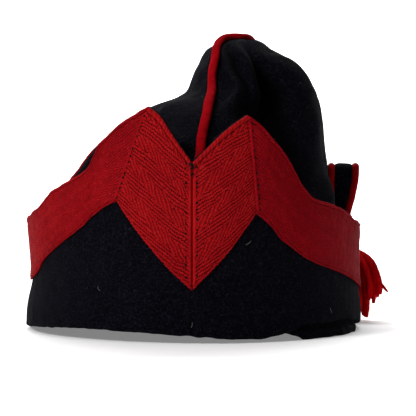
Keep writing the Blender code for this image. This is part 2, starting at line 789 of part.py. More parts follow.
def fused(base, extra):
    """Base with extra joined into one solid; extra is removed."""
    cut = base.modifiers.new("join", "BOOLEAN")
    cut.operation = "UNION"
    cut.solver = "EXACT"
    cut.object = extra
    graph = bpy.context.evaluated_depsgraph_get()
    mesh = bpy.data.meshes.new_from_object(base.evaluated_get(graph), depsgraph=graph)
    base.modifiers.clear()
    base.data = mesh
    bpy.data.objects.remove(extra, do_unlink=True)
    return base


# Where the locks begin below the head's centre, as a share of its radius
LOCK_TOP = 0.35
# Points closer than this are merged once the tassel is fused
MERGE = 0.00001


def make_tassel():
    """Head, core and locks of yarn fused into one solid."""
    end = strip_frame(STRIP_ROWS[-1])[0]
    top = end - Vector((0.0, 0.0, HEAD_RADIUS + SEWN_GAP))
    base = solid_mesh("tassel_base", head_sections(top))
    lock_top = top - Vector((0.0, 0.0, LOCK_TOP * HEAD_RADIUS))
    for heading, reach, length in LOCK_ROWS:
        lock = solid_mesh("lock", lock_sections(lock_top, heading, reach, length))
        base = fused(base, lock)
    bm = bmesh.new()
    bm.from_mesh(base.data)
    bpy.data.objects.remove(base, do_unlink=True)
    bmesh.ops.remove_doubles(bm, verts=bm.verts, dist=MERGE)
    bmesh.ops.dissolve_degenerate(bm, edges=bm.edges, dist=MERGE)
    return finish_mesh("tassel", bm, YARN_RED)


def main():
    clear_scene()
    make_turban()
    make_lace("lace_left", LACE_LEFT)
    make_lace("lace_right", LACE_RIGHT)
    make_inner_band()
    make_crown()
    make_front_piping()
    make_route_piping("rear_piping", REAR_ROUTE)
    make_route_piping("tail_piping", tail_edge_route())
    make_tail()
    make_strip()
    make_strip_piping("strip_piping_inner", -1.0)
    make_strip_piping("strip_piping_outer", 1.0)
    make_tassel()


if __name__ == "__main__":
    main()
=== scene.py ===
"""Looks of a side cap: wool turn-up, herringbone lace, gathered crown, piping and tassel.

Metres, +Z up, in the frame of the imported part. The front seam faces -Y and +X is on the viewer's
right. A turn is an angle around the cap in degrees, 0 at the front seam and growing towards +X.
"""
import math

import bpy
import numpy as np
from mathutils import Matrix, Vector
from mathutils.kdtree import KDTree


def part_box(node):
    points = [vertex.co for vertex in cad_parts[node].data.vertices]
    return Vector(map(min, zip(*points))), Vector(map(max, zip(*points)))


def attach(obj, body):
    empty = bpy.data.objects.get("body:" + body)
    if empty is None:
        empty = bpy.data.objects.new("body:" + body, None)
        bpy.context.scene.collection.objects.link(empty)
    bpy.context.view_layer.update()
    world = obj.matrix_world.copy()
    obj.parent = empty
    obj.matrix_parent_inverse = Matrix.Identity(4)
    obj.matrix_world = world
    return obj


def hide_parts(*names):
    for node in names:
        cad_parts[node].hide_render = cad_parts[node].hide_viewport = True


bl_info = {
    "name": "Side Cap",
    "version": (1, 0, 0),
    "blender": (4, 5, 0),
    "location": "View3D > Sidebar > Side Cap",
    "description": "Wool side cap with a laced turn-up, a gathered crown, piping and a tassel",
    "category": "Add Mesh",
}

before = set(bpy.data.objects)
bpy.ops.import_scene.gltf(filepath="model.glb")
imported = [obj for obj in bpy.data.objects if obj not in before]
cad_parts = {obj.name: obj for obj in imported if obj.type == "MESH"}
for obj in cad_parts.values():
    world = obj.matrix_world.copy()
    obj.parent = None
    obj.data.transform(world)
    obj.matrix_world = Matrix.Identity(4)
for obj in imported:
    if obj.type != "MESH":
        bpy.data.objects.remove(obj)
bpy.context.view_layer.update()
TURBAN_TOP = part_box("turban")[1]
BAND_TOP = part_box("inner_band")[1]

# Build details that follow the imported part, in metres and degrees
SEWN_GAP = 0.0003
LACE_GAP = 0.0004
SEAM_GAP = 0.0004
LAID_GAP = 0.0004
CORD_GAP = 0.0006
TAIL_GAP = 0.0008
BESIDE_GAP = 0.0008
RIM_ABOVE_LACE = 0.0006
BARE_RIM = 0.0036
BARE_TURN = -36.5
BARE_SPREAD = 3.0
SIDE_LEAN = 0.0016
LEAN_START = 0.010
LEAN_END = 0.030
WAIST_DEPTH = 0.0016
WAIST_HEIGHT = 0.033
WAIST_SPREAD = 0.015
BAND_BULGE = 0.0026
LIFT = 0.0080
LOCK_ROOT = 0.0012
LOCK_DISC = 0.0012
LOCK_STRANDS = 7
RIM_ROUND = 0.0013  # height of the turban's rounded rim and foot
FRONT_SEAM_DEPTH = 0.0005
FRONT_SEAM_WIDTH = 0.55
BAND_THICK = 0.0018
BAND_ROUND = 0.0006  # height of the band's rounded foot
BAND_TUCK = 0.0002

# Density of the meshes that go all round.
# columns: mesh columns over the front, mesh columns over the rest, turn where the front ends
TURBAN_COLUMNS = (340, 240, 70.0)
BAND_COLUMNS = (260, 140, 70.0)
CROWN_COLUMNS = (250, 150, 78.0)

# Density of the meshes in the other direction, and of the other meshes
TURBAN_ROWS = (34, 12)  # over the outer and over the inner face
RIM_ANGLES = np.radians(np.linspace(18.0, 162.0, 7))  # over the turban's rim
FOOT_ANGLES = np.radians(np.linspace(198.0, 342.0, 7))  # round its foot
CROWN_LEVELS = 138
TAIL_GRID = (120, 34)  # along and across
STRIP_GRID = (150, 30)  # along and round
CORD_SIDES = 20
STRIP_CORD_SIDES = 18

# Unevenness of the cloth, each a smooth random relief.
# columns: height and wavelength in metres, seed. The heights of strip and stitches are shares of the
# strip's thickness and of the stitches' pitch.
RIPPLES = {
    "wall": (0.00035, 0.055, 3),
    "turban_face": (0.00012, 0.010, 11),
    "turban_edge": (0.00025, 0.007, 12),
    "lace_slack": (0.00012, 0.012, 21),
    "lace_fine": (0.00010, 0.004, 22),
    "lace_along": (0.0005, 0.008, 23),
    "lace_across": (0.00018, 0.009, 24),
    "band_lumps": (0.0007, 0.011, 31),
    "band_foot": (0.0003, 0.009, 32),
    "crown_slack": (0.0006, 0.034, 41),
    "crown_fine": (0.00022, 0.011, 42),
    "tail_slack": (0.0003, 0.016, 51),
    "strip_slack": (0.10, 0.012, 71),
    "stitches": (0.25, 0.007, 91),
}

# Grain of the materials. columns: noise cells in a metre, detail, roughness
GRAINS = {
    "wool_fibres": (1250.0, 4.0, 0.85),
    "wool_tufts": (480.0, 3.0, 0.6),
    "wool_cloth": (70.0, 3.0, 0.55),
    "lace_wobble": (210.0, 2.0, 0.6),
    "lace_fuzz": (1500.0, 3.0, 0.7),
    "lace_clumps": (520.0, 2.0, 0.6),
    "lace_wear": (55.0, 3.0, 0.5),
    "lace_gleam": (1000.0, 3.0, 0.7),
    "plain": (900.0, 2.0, 0.5),
}
CORD_GRAIN = 1500.0  # noise cells in a metre of the red wools' fibres
YARN_GRAIN = 1700.0
LUMP_SHARE = 0.18  # cells of their lumps for each cell of their fibres

# Noise values between which a part of a material's pattern fades in
FADES = {
    "wool_fibres": (0.50, 0.64),
    "wool_tufts": (0.15, 0.75),
    "red_fibres": (0.48, 0.80),
    "red_lumps": (0.30, 0.62),
    "lace_clumps": (0.30, 0.62),
    "lace_gleam": (0.52, 0.70),
    "lace_wear": (0.25, 0.75),
}

# Small relief of the materials. columns: strength, distance in metres
RELIEFS = {
    "wool": (1.0, 0.0009),
    "red_wool": (0.9, 0.0006),
    "lace": (0.75, 0.0004),
}
NAP_SHARE = 0.90  # how much of the wool's fibres catches the light
NAP_CLOUDS = 0.06  # how much of that is in wide, faint patches
WOOL_SHEEN = 0.001
WHITE = (1.0, 1.0, 1.0)
HOLLOW_SHADE = (0.22, 0.22, 0.26)  # painted shade at the bottom of the deepest folds
GLEAM = (0.56, 0.026, 0.022)  # single fibres of the lace that catch the light
RUBBED = (0.80, 0.66, 0.80)  # duller patches of the lace
SIDE_PANEL_SHADE = (0.62, 0.30, 0.72)  # painted shade on the panels away from the front seam
SHEEN_TINT = (0.40, 0.42, 0.70, 1.0)
PAPER_GLOW = 0.22  # light that shines through the floor's paper, as on a light table

# Lace, one table for each half, from the front seam to the back. Heights are shares of the peak's.
# columns: turn of the top edge, top, turn of the lower edge, low
LACE_LEFT = [
    (0.0, 0.770, 0.0, 0.230),
    (-3.5, 0.831, -6.5, 0.308),
    (-7.0, 0.901, -12.0, 0.388),
    (-10.5, 0.970, -18.7, 0.496),
    (-14.0, 1.006, -24.5, 0.606),
    (-18.5, 0.971, -27.0, 0.592),
    (-23.5, 0.931, -30.0, 0.572),
    (-27.0, 0.890, -32.5, 0.550),
    (-31.0, 0.835, -35.0, 0.528),
    (-35.5, 0.746, -38.0, 0.496),
    (-40.0, 0.710, -41.5, 0.468),
    (-48.0, 0.668, -48.0, 0.423),
    (-55.5, 0.623, -56.0, 0.371),
    (-61.5, 0.576, -62.0, 0.334),
    (-68.0, 0.550, -68.0, 0.282),
    (-75.0, 0.527, -75.0, 0.250),
    (-90.0, 0.500, -90.0, 0.225),
    (-105.0, 0.520, -105.0, 0.240),
    (-120.0, 0.600, -120.0, 0.310),
    (-130.0, 0.696, -130.0, 0.410),
    (-140.0, 0.824, -139.0, 0.510),
    (-150.0, 0.926, -148.0, 0.570),
    (-166.0, 1.040, -155.5, 0.630),
    (-173.0, 0.920, -168.0, 0.430),
    (-180.0, 0.800, -180.0, 0.240),
]
LACE_RIGHT = [
    (0.0, 0.770, 0.0, 0.230),
    (4.5, 0.826, 5.2, 0.301),
    (9.0, 0.886, 10.5, 0.376),
    (13.2, 0.931, 15.5, 0.462),
    (17.5, 0.969, 20.5, 0.553),
    (21.5, 0.935, 23.5, 0.525),
    (25.5, 0.880, 26.5, 0.490),
    (29.0, 0.832, 30.0, 0.437),
    (33.0, 0.766, 33.5, 0.408),
    (37.0, 0.679, 37.0, 0.376),
    (43.0, 0.612, 43.0, 0.337),
    (52.5, 0.585, 52.5, 0.302),
    (63.0, 0.548, 63.0, 0.268),
    (72.5, 0.508, 73.0, 0.234),
    (90.0, 0.482, 90.0, 0.190),
    (105.0, 0.500, 105.0, 0.210),
    (120.0, 0.570, 120.0, 0.280),
    (130.0, 0.660, 130.0, 0.380),
    (140.0, 0.790, 139.0, 0.490),
    (150.0, 0.900, 148.0, 0.560),
    (166.0, 1.000, 155.5, 0.620),
    (173.0, 0.900, 168.0, 0.430),
    (180.0, 0.800, 180.0, 0.240),
]
# Turns of the top edge where the lace is folded to a mitre
MITRE_TURNS = (-166.0, -14.0, 17.5, 166.0)

# Details of the lace, in metres where no other unit is given
LACE_STEP = 0.00062  # distance between the mesh's columns
LACE_ACROSS = np.linspace(0.0, 1.0, 118)
LACE_BACK = np.array([1.0, 0.66, 0.33, 0.0])
SCALLOP_PITCH = 0.0022
SCALLOP_REACH = 0.035  # share of the width over which the scallops fade
PLAIN_END = 0.0022  # width of the plain strip at the front end of each panel
PLAIN_FADE = 0.0006  # width over which the weave starts beside it
STEEP_SHARE = 0.6  # height of the steep ribs as a share of the shallow ones
LOW_ROLL = 1.9  # how many times narrower the lower rolled edge is than the upper
ROLL_RISE = 0.00048
ROLL_FOOT = 0.0001  # how far below the ground the rolled edges begin
THIN_DEPTH = 0.0006  # how much thinner the lace gets towards its lower edge
THIN_WIDTH = 0.0018
GROOVE_PLACE = 1.12  # distance of the groove from the lace's edge, as a share of the roll
GROOVE_DEPTH = 0.00034
GROOVE_WIDTH = 0.0003
START_DIP = (0.0006, 0.0005)  # depth and width of the dips where a stretch of lace starts and ends
END_DIP = (0.0004, 0.0004)
FOLD_PLACE = 0.0012
FOLD_WIDTH = 0.00055
# Height of the fold beside the start of each stretch of lace, for the left and the right half
LACE_FOLDS = ({0: 0.00035}, {0: 0.00035, 1: 0.00065})
# Panels away from the front seam, left and right: how much of the weave is left, and how much painted shade
# darkens them
WORN_WEAVE = (0.85, 0.62)
SIDE_SHADE_SHARE = (0.48, 0.85)

# Pattern of the lace's material, with no unit for depth and light: light less depth is the colour, so depth
# is painted shade
BAND_WANDER = 0.008  # how far the bands of the herringbone wander, in metres
RIB_WANDER = 0.8  # how far the ribs wander, as a share of their pitch
STEEP_DEPTH = 0.75  # depth of the grooves between steep ribs
SHALLOW_MORE = 0.20  # how much deeper they are between shallow ribs
BETWEEN_HOLES = 0.40  # share of the depth that is left between the pinholes
CLUMPING = 0.35  # how much the weave's depth varies in patches
ROLL_FADE = 0.0004  # width over which the weave starts beside the rolled edges, in metres
LINE_PLACE = 1.15  # distance of the dark line, painted shade in the groove inside the roll, from the edge, as a share of the roll
LINE_WIDTH = 0.0005  # half the dark line's width, in metres
LINE_DEPTH = 0.60
ROPE_DEPTH = 0.40  # depth of the rolled edges' twist
FUZZ_LIGHT = 0.7  # how much the fuzz varies the light on the ribs
RIB_LIGHT = 0.60  # light on the ribs where there is no fuzz
GLEAM_SHARE = 0.55  # strength of the single fibres that catch the light

# Waves of the lower edges, as shares of LIFT.
# columns: turn, turban edge, band edge
EDGE_WAVES = [
    (-180.0, 0.00, 0.00), (-105.0, 0.00, 0.00), (-95.0, 0.04, 0.00), (-84.0, 0.22, 0.20),
    (-70.0, 0.40, 0.38), (-55.0, 0.58, 0.56), (-37.0, 0.71, 0.69), (-21.0, 0.64, 0.62),
    (-8.0, 0.52, 0.50), (0.0, 0.46, 0.44), (6.0, 0.36, 0.34), (12.0, 0.24, 0.22),
    (20.0, 0.21, 0.19), (28.0, 0.33, 0.31), (33.0, 0.50, 0.44), (37.0, 0.72, 0.26),
    (41.0, 1.00, 0.00), (51.0, 0.94, 0.00), (60.0, 1.00, 0.00), (73.0, 0.75, 0.00),
    (85.0, 0.45, 0.00), (95.0, 0.20, 0.00), (105.0, 0.00, 0.00), (180.0, 0.00, 0.00),
]

# Level sections through the crown.
# columns: height as a share of the crown's, left and right side as shares of the half width,
# front and rear as shares of the half depth
CROWN_ROWS = [
    (0.300, -0.893, 0.820, -0.935, 0.935),
    (0.387, -0.880, 0.785, -0.922, 0.917),
    (0.450, -0.800, 0.788, -0.912, 0.900),
    (0.520, -0.698, 0.797, -0.901, 0.875),
    (0.613, -0.547, 0.780, -0.833, 0.792),
    (0.693, -0.395, 0.770, -0.760, 0.698),
    (0.747, -0.291, 0.758, -0.698, 0.625),
    (0.773, -0.198, 0.750, -0.656, 0.573),
    (0.793, -0.100, 0.738, -0.625, 0.531),
    (0.813, -0.044, 0.729, -0.600, 0.500),
    (0.847, -0.022, 0.696, -0.562, 0.438),
    (0.880, -0.006, 0.652, -0.520, 0.365),
    (0.908, 0.024, 0.594, -0.480, 0.280),
    (0.933, 0.046, 0.528, -0.443, 0.198),
    (0.957, 0.078, 0.474, -0.396, 0.104),
    (0.971, 0.116, 0.440, -0.354, 0.030),
    (0.981, 0.162, 0.412, -0.315, -0.050),
    (0.988, 0.212, 0.375, -0.275, -0.130),
]
CROWN_POLE = (0.290, -0.205, 0.986)

# Gathers and billows of the crown. Each runs between a turn at the low height and one at the
# high height, and fades in and out between two heights.
# columns: low turn, high turn, low spread, high spread, depth as a share of the fold depth, start, end
LOW_FOLD = 0.747
HIGH_FOLD = 0.957
FOLD_RAMP = 0.10
CROWN_FOLDS = [
    (-10.5, -36.0, 3.5, 6.0, -0.14, 0.60, 1.00),
    (-4.0, -29.0, 4.0, 5.5, 0.22, 0.62, 1.00),
    (9.0, -21.0, 4.5, 5.5, -0.34, 0.64, 1.00),
    (9.0, -5.0, 4.0, 6.5, 0.26, 0.72, 1.00),
    (13.0, 17.0, 4.0, 7.0, -0.34, 0.72, 1.00),
    (29.0, 12.0, 11.0, 9.0, -0.95, 0.44, 0.93),
    (58.0, 56.0, 13.0, 14.0, 0.16, 0.45, 0.98),
    (77.0, 77.0, 7.0, 7.0, 0.46, 0.34, 0.55),
    (-51.0, -101.0, 6.0, 9.0, 0.12, 0.62, 0.84),
    (-60.0, -112.0, 6.0, 9.0, -0.12, 0.62, 0.84),
    (150.0, 160.0, 14.0, 16.0, -0.16, 0.45, 0.95),
    (-120.0, -100.0, 12.0, 14.0, -0.16, 0.45, 0.95),
]

# Seams and folds of the crown's cloth, and the shade painted into its folds
SEAM_DIP = 0.0003  # how far a sewn cord pulls the crown's cloth in
SEAM_REACH = 0.0075  # how far from the cord it does
TUCK = (0.30, 0.42)  # shares of the height between which the cloth comes free of the turban
SHADE_TURN = 4.0  # how far the painted shade lies left of the bottom of its fold, on the flank away from the light, in degrees
HOLLOW_DEPTH = 0.0055  # depth of a fold whose painted shade is darkest
PROFILE_SAMPLES = 1200
NEAR_SHARE = 0.004  # steps over which the crown's directions are measured
NEAR_TURN = 0.6
DOME_STEPS = (0.8, 0.6, 0.4, 0.2)  # rows between the last section and the top point

# Seam routes on the crown.
# columns: turn, height as a share of the crown's
FRONT_ROUTE = [
    (-2.5, 0.470), (-3.0, 0.520), (-4.0, 0.570), (-5.5, 0.607), (-9.0, 0.655), (-12.0, 0.700),
    (-14.0, 0.730), (-16.5, 0.750), (-21.5, 0.772), (-28.0, 0.789), (-33.5, 0.805),
    (-36.5, 0.830), (-37.2, 0.865), (-37.8, 0.900), (-38.5, 0.930), (-41.0, 0.952),
    (-46.0, 0.970), (-57.0, 0.982), (-75.0, 0.988),
]
FALL_ROUTE = [
    (158.0, 0.988), (154.0, 0.981), (147.0, 0.965), (138.0, 0.940), (127.0, 0.890),
    (117.0, 0.800), (110.5, 0.720), (106.0, 0.650), (105.5, 0.600), (107.5, 0.520),
    (109.0, 0.400),
]
REAR_ROUTE = [
    (180.0, 0.480), (180.0, 0.600), (181.0, 0.700), (184.0, 0.790), (190.0, 0.870),
    (198.0, 0.920), (206.0, 0.955),
]

# Tail on the crown's right rear side.
# columns: height as a share of the crown's, rear turn, thickness as a share of the tail's
TAIL_ROWS = [
    (0.360, 119.0, 0.80), (0.420, 122.0, 1.00), (0.520, 128.0, 1.00), (0.613, 134.0, 1.00),
    (0.693, 141.0, 1.00), (0.800, 150.0, 1.00), (0.880, 157.0, 1.00), (0.930, 164.0, 1.00),
    (0.945, 167.0, 0.75), (0.958, 172.0, 0.40),
]

# Cords, as shares of their nominal width and rise
CORD_HALF_WIDTH = 0.48
CORD_HALF_RISE = 0.62
CORD_LIFT = 0.40  # height of the middle over the cloth
CORD_STEP = 0.0009  # distance between a cord's rings, in metres
CORD_UNEVEN = 0.035
CORD_SOFTEN = 4  # rings on each side that a joint is softened over
STRIP_CORD_HALF = (0.56, 0.52)  # half width and half height of the cords along the strip
STRIP_FLAT_INSET = 0.33  # how far the strip's cloth ends short of its cords' middles
STRIP_SQUARE = 0.45  # 1 is an oval section, 0 a square one

# Strip over the turban's wall.
# columns: turn, reach, height as a share of the peak's, width, heading of the width, lean
STRIP_REACH = 0.071
STRIP_ROWS = [
    (92.0, -1.00, 0.442, 0.52, 0.0, 0.0),
    (92.3, -0.95, 0.516, 0.57, 0.0, 0.0),
    (92.6, -0.79, 0.616, 0.86, 0.0, 5.0),
    (93.3, -0.67, 0.696, 1.00, 0.0, 20.0),
    (95.1, -0.61, 0.737, 1.00, -3.0, 55.0),
    (98.0, -0.54, 0.746, 1.00, -8.0, 90.0),
    (103.5, -0.50, 0.720, 1.00, -26.0, 130.0),
    (110.5, -0.34, 0.664, 0.95, -52.0, 155.0),
    (115.5, 0.24, 0.598, 0.90, -70.0, 170.0),
    (118.0, 0.80, 0.500, 0.85, -70.0, 178.0),
    (119.5, 1.00, 0.393, 0.70, -66.0, 180.0),
]

# Locks of the tassel.
# columns: heading in degrees from +X, reach as a share of the spread, length as a share of the drop
LOCK_ROWS = [
    (20.0, 0.70, 0.80), (50.0, 0.40, 0.98), (75.0, 0.70, 0.90), (100.0, 0.45, 0.96),
    (292.0, 0.55, 0.98), (297.0, 1.20, 0.86), (301.0, 1.00, 0.98), (306.0, 1.65, 0.66),
    (312.0, 1.60, 0.70), (318.0, 1.82, 0.62), (324.0, 1.08, 1.02), (331.0, 1.50, 0.66),
    (340.0, 0.90, 0.96), (352.0, 1.35, 0.64), (330.0, 0.15, 0.98),
]

# Yarns of the tassel
YARN_RADIUS = (0.00105, 0.00140)
YARN_TWIST = (16.0, 24.0)
YARN_RINGS = 30
YARN_REST = 0.0004  # how far above the floor the longest yarns end
YARN_ASIDE = (0.31, 0.95, 0.05)  # a direction that no yarn follows
YARN_HEADING = 2.5  # scatter of the headings, in degrees
YARN_REACH = 0.04  # scatter of the reaches and of the lengths, as shares
YARN_LENGTH = 0.05
YARN_LONGEST = 1.02
YARN_CLEAR = 1.3  # a yarn's reach with its plies and knobs, as a share of its radius
YARN_BELLY = (0.85, 0.25)  # thickness at the ends, and how much thicker the middle is
TASSEL_SEED = 81
LOCK_START = 0.35  # how far below the head's middle the locks start, as a share of its radius
STRAND_SCATTER = 0.2  # scatter of a lock's strands round its middle, in strands
STRAND_TILT = 0.6  # rise of the strands on a lock's outer side
SWING_CURVE = 0.85  # below 1 the yarns swing out early
DROP_CURVE = 0.40  # how much later a yarn drops that swings out further
PLIES = 3.0
PLY_DEPTH = 0.16
KNOBS = 53.0  # small lumps along a yarn
KNOB_DEPTH = 0.05
SWAY = 0.0005
BULGE_SHARES = ((0.0, 0.25, 0.55, 0.8, 1.0), (0.75, 1.0, 1.15, 1.0, 0.75))
STRAY_REACH = 0.0290
STRAY_DROP = 0.0215
STRAY_CURVE = 1.3
STRAY_WAY = (0.79, -0.61, 0.0)
STRAY_RADIUS = 0.00085
STRAY_TWIST = 14.0
WINDING_RINGS = 420
WINDING_TURNS = 11.0
WINDING_SPAN = 0.92  # share of the head that the winding covers from top to foot
WINDING_REACH = 0.90  # radius of the winding's middle, as a share of the head's
WINDING_RADIUS = 0.00062
WINDING_TWIST = 260.0

# Stitches: length and thickness in metres, as inputs of the geometry tree
HOLE_SIZE = {"Length": 0.00120, "Thickness": 0.00085}
SEAM_SIZE = {"Length": 0.0013, "Thickness": 0.00050}
KNOT_SIZE = {"Length": 0.0021, "Thickness": 0.0011}
KNOT_RISE = 0.0008
HOLE_RISE = 0.00002
HOLE_INSETS = (0.0030, 0.0022)  # distance of the holes from the front seam, left and right
MITRE_INSETS = (0.0, 0.0019)  # distance of the holes from the mitres, left and right
HOLES_TOP = 0.015  # distance of the seam's last hole from the lace's top edge, as a share of the peak
HOLES_LOW = 0.055  # distance of its first hole from the lower edge
MITRE_START = 0.03  # shares of the mitre between which it is sewn
MITRE_SPAN = 0.86
SEAM_INSET = 0.00208  # distance of the seam's stitches from the seam
SEAM_START = 0.002  # how far above the foot they start
SEAM_SHORT = 0.003  # how much shorter than the seam their row is

# Lint: fibres on a square metre, and their sizes in metres
LINT_SIZE = {"Density": 9000.0, "Length": 0.0010, "Thickness": 0.000022}
STRAY_FIBRE_RADIUS = 0.00009
STRAY_FIBRE_LIFT = 0.00035

# Loops of the dark thread that ties the lace off at the front notch.
# columns: turn, height in metres, the loop's direction along X and Z
NOTCH_KNOT = [
    (-0.40, 0.0853, 0.9, -0.4), (0.40, 0.0851, 0.9, 0.4), (0.05, 0.0842, 0.3, -0.9),
    (-0.25, 0.0832, 0.7, -0.7), (0.00, 0.0806, 0.2, 1.0),
]

# Stray light fibres on the turban's front.
# columns: turn, height, length in metres, heading in degrees, bend in degrees
STRAY_FIBRES = [
    (17.0, 0.0468, 0.0034, 35.0, 25.0), (-10.9, 0.0406, 0.0020, 70.0, 40.0),
    (-32.2, 0.0268, 0.0026, -55.0, 50.0), (52.0, 0.0150, 0.0030, -65.0, 80.0),
    (43.0, 0.0390, 0.0028, 60.0, 70.0), (-0.5, 0.0077, 0.0026, 75.0, 50.0),
]

# Lamps. columns: name, place, point that it shines at, power in watts, size in metres
LAMPS = [
    ("key", (-1.1, -1.2, 1.1), (0.0, 0.0, 0.07), 27.0, 0.7),
    ("fill", (1.3, -1.6, 0.6), (0.0, 0.0, 0.07), 0.6, 1.2),
    ("top", (-0.2, 0.2, 1.9), (0.0, 0.0, 0.07), 8.0, 1.2),
    ("back", (0.0, 1.2, 1.8), (0.0, 2.4, 0.6), 135.0, 2.0),
]
WORLD_LIGHT = 0.05

# Floor and backdrop, in metres
FLOOR_HALF_WIDTH = 6.0
FLOOR_FRONT = -4.0
BEND_START = 2.2
BEND_RADIUS = 1.2
BACKDROP_HEIGHT = 5.0

# Camera, in metres, with its lens and sensor in millimetres
CAMERA_PLACE = (0.0075, -1.0996, 0.092)
CAMERA_LOOK = (0.0075, 0.0, 0.062)
CAMERA_LENS = 183.7
CAMERA_SENSOR = 36.0


def length_property(name, description, default):
    """Property for a length in metres."""
    return bpy.props.FloatProperty(name=name, description=description, default=default, min=0.0,
                                   precision=4, unit="LENGTH")


def colour_property(name, description, default):
    """Property for a colour."""
    return bpy.props.FloatVectorProperty(name=name, description=description, default=default,
                                         size=3, min=0.0, max=1.0, subtype="COLOR")


class CapSizes(bpy.types.PropertyGroup):
    """Sizes of the cap."""
    half_width: length_property("Half width", "Half the turban's width", TURBAN_TOP.x)
    half_depth: length_property("Half depth", "Half the turban's depth", TURBAN_TOP.y)
    peak_height: length_property("Peak height", "Height of the turban's left peak", 0.112)
    crown_height: length_property("Crown height", "Height that the crown's shares count from", 0.150)
    fold_depth: length_property("Fold depth", "Depth of the crown's deepest fold", 0.015)
    turban_thick: length_property("Turban thickness", "Thickness of the turban's cloth", 0.0030)
    crown_thick: length_property("Crown thickness", "Thickness of the crown's cloth", 0.0018)
    tail_thick: length_property("Tail thickness", "Thickness of the flattened tail", 0.0032)
    piping_width: length_property("Piping width", "Width of the cords on the crown", 0.0050)
    piping_rise: length_property("Piping rise", "How far the cords stand up from the crown", 0.0029)
    strip_width: length_property("Strip width", "Width of the strip between its cords' middles", 0.0120)
    strip_thick: length_property("Strip thickness", "Thickness of the strip", 0.0034)
    strip_cord: length_property("Strip cord", "Thickness of the cords along the strip", 0.0036)
    tassel_drop: length_property("Tassel drop", "Length of the tassel's longest yarn", 0.0360)
    tassel_spread: length_property("Tassel spread", "How far the tassel's yarns swing out", 0.0125)
    tassel_head: length_property("Tassel head", "Radius of the tassel's head", 0.0044)


class CapLace(bpy.types.PropertyGroup):
    """Weave of the lace."""
    thick: length_property("Thickness", "Thickness of the lace", 0.0010)
    width: length_property("Width", "Width of the lace as it was woven", 0.0390)
    roll: length_property("Roll", "Width of the rolled edges", 0.0019)
    scallop: length_property("Scallop", "Depth of the lower edge's small scallops", 0.00042)
    rib_pitch: length_property("Rib pitch", "Distance between the weave's ribs", 0.00137)
    rib_height: length_property("Rib height", "Height of the weave's ribs", 0.00019)
    float_length: length_property("Float length", "Distance between the pinholes along a rib", 0.00136)
    stitch_pitch: length_property("Stitch pitch", "Distance between the sewing stitches", 0.0026)
    repeats: bpy.props.IntProperty(
        name="Repeats", description="Repeats of the herringbone across the lace", default=4, min=1)
    wide_share: bpy.props.FloatProperty(
        name="Wide share", description="Share of a repeat with the shallow ribs", default=0.58,
        min=0.1, max=0.9, subtype="FACTOR")
    rib_angle: bpy.props.FloatProperty(
        name="Rib angle", description="Angle of the shallow ribs to the edges",
        default=math.radians(11.0), subtype="ANGLE")
    steep_angle: bpy.props.FloatProperty(
        name="Steep angle", description="Angle of the steep ribs to the edges",
        default=math.radians(19.0), subtype="ANGLE")


class CapColours(bpy.types.PropertyGroup):
    """Colours of the cap."""
    wool: colour_property("Wool", "Ground of the dark cloth", (0.0005, 0.0005, 0.0012))
    nap: colour_property("Nap", "Fibres that catch the light on the dark cloth", (0.0195, 0.0175, 0.029))
    lace: colour_property("Lace", "Ribs of the red lace", (0.375, 0.0054, 0.0072))
    # groove: painted shade between the lace's ribs
    groove: colour_property("Groove", "Grooves of the red lace", (0.040, 0.0004, 0.0012))
    piping: colour_property("Piping", "Cloth over the cords", (0.27, 0.0010, 0.0040))
    yarn: colour_property("Yarn", "Yarn of the tassel", (0.45, 0.0014, 0.0040))
    thread: colour_property("Thread", "Dark sewing thread", (0.006, 0.001, 0.0015))
    fibre: colour_property("Fibre", "Stray light fibres", (0.17, 0.16, 0.15))
    floor: colour_property("Floor", "Floor and backdrop", (0.93, 0.93, 0.93))


# Smooth curves and arrays of points

def smoothstep(low, high, value):
    """Blend from 0 at low to 1 at high, for arrays."""
    share = np.clip((value - low) / (high - low), 0.0, 1.0)
    return share * share * (3.0 - 2.0 * share)


def smooth_curve(rows, column, key_column=0):
    """Function of arrays that runs smoothly through a column of a table with no overshoot."""
    rows = sorted(rows, key=lambda row: row[key_column])
    keys = np.array([row[key_column] for row in rows], float)
    values = np.array([row[column] for row in rows], float)
    spans = np.diff(keys)
    steps = np.diff(values) / spans
    before = steps[:-1]
    after = steps[1:]
    same_way = before * after > 0.0
    inner = np.where(same_way, 2.0 * before * after / np.where(same_way, before + after, 1.0), 0.0)
    slopes = np.concatenate([steps[:1], inner, steps[-1:]])

    def value(key):
        key = np.clip(key, keys[0], keys[-1])
        index = np.clip(np.searchsorted(keys, key, side="right") - 1, 0, len(spans) - 1)
        span = spans[index]
        share = (key - keys[index]) / span
        rest = 1.0 - share
        return (values[index] * rest * rest * (1.0 + 2.0 * share)
                + values[index + 1] * share * share * (1.0 + 2.0 * rest)
                + span * share * rest * (slopes[index] * rest - slopes[index + 1] * share))

    return value


def route_turn(route):
    """Turn of a seam as a function of the height's share."""
    return smooth_curve(route, 0, key_column=1)


falling_turn = route_turn(FALL_ROUTE)
crown_left = smooth_curve(CROWN_ROWS, 1)
crown_right = smooth_curve(CROWN_ROWS, 2)
crown_front = smooth_curve(CROWN_ROWS, 3)
crown_rear = smooth_curve(CROWN_ROWS, 4)
turban_wave = smooth_curve(EDGE_WAVES, 1)
band_wave = smooth_curve(EDGE_WAVES, 2)


def unit(vectors):
    """Vectors of length 1."""
    return vectors / np.maximum(np.linalg.norm(vectors, axis=-1, keepdims=True), 1e-12)


def bell(distance, middle, width):
    """Soft bump of height 1 round a distance."""
    return np.exp(-((distance - middle) / width) ** 2)


def ripple(points, wavelength, seed, waves=14):
    """Smooth random relief of about -1 to 1 at points in space."""
    random = np.random.default_rng(seed)
    directions = unit(random.normal(size=(waves, 3)))
    lengths = wavelength * random.uniform(0.7, 1.5, waves)
    phases = random.uniform(0.0, 2.0 * math.pi, waves)
    swing = points @ (directions / lengths[:, None]).T * 2.0 * math.pi + phases
    return np.sin(swing).sum(axis=-1) / math.sqrt(waves)


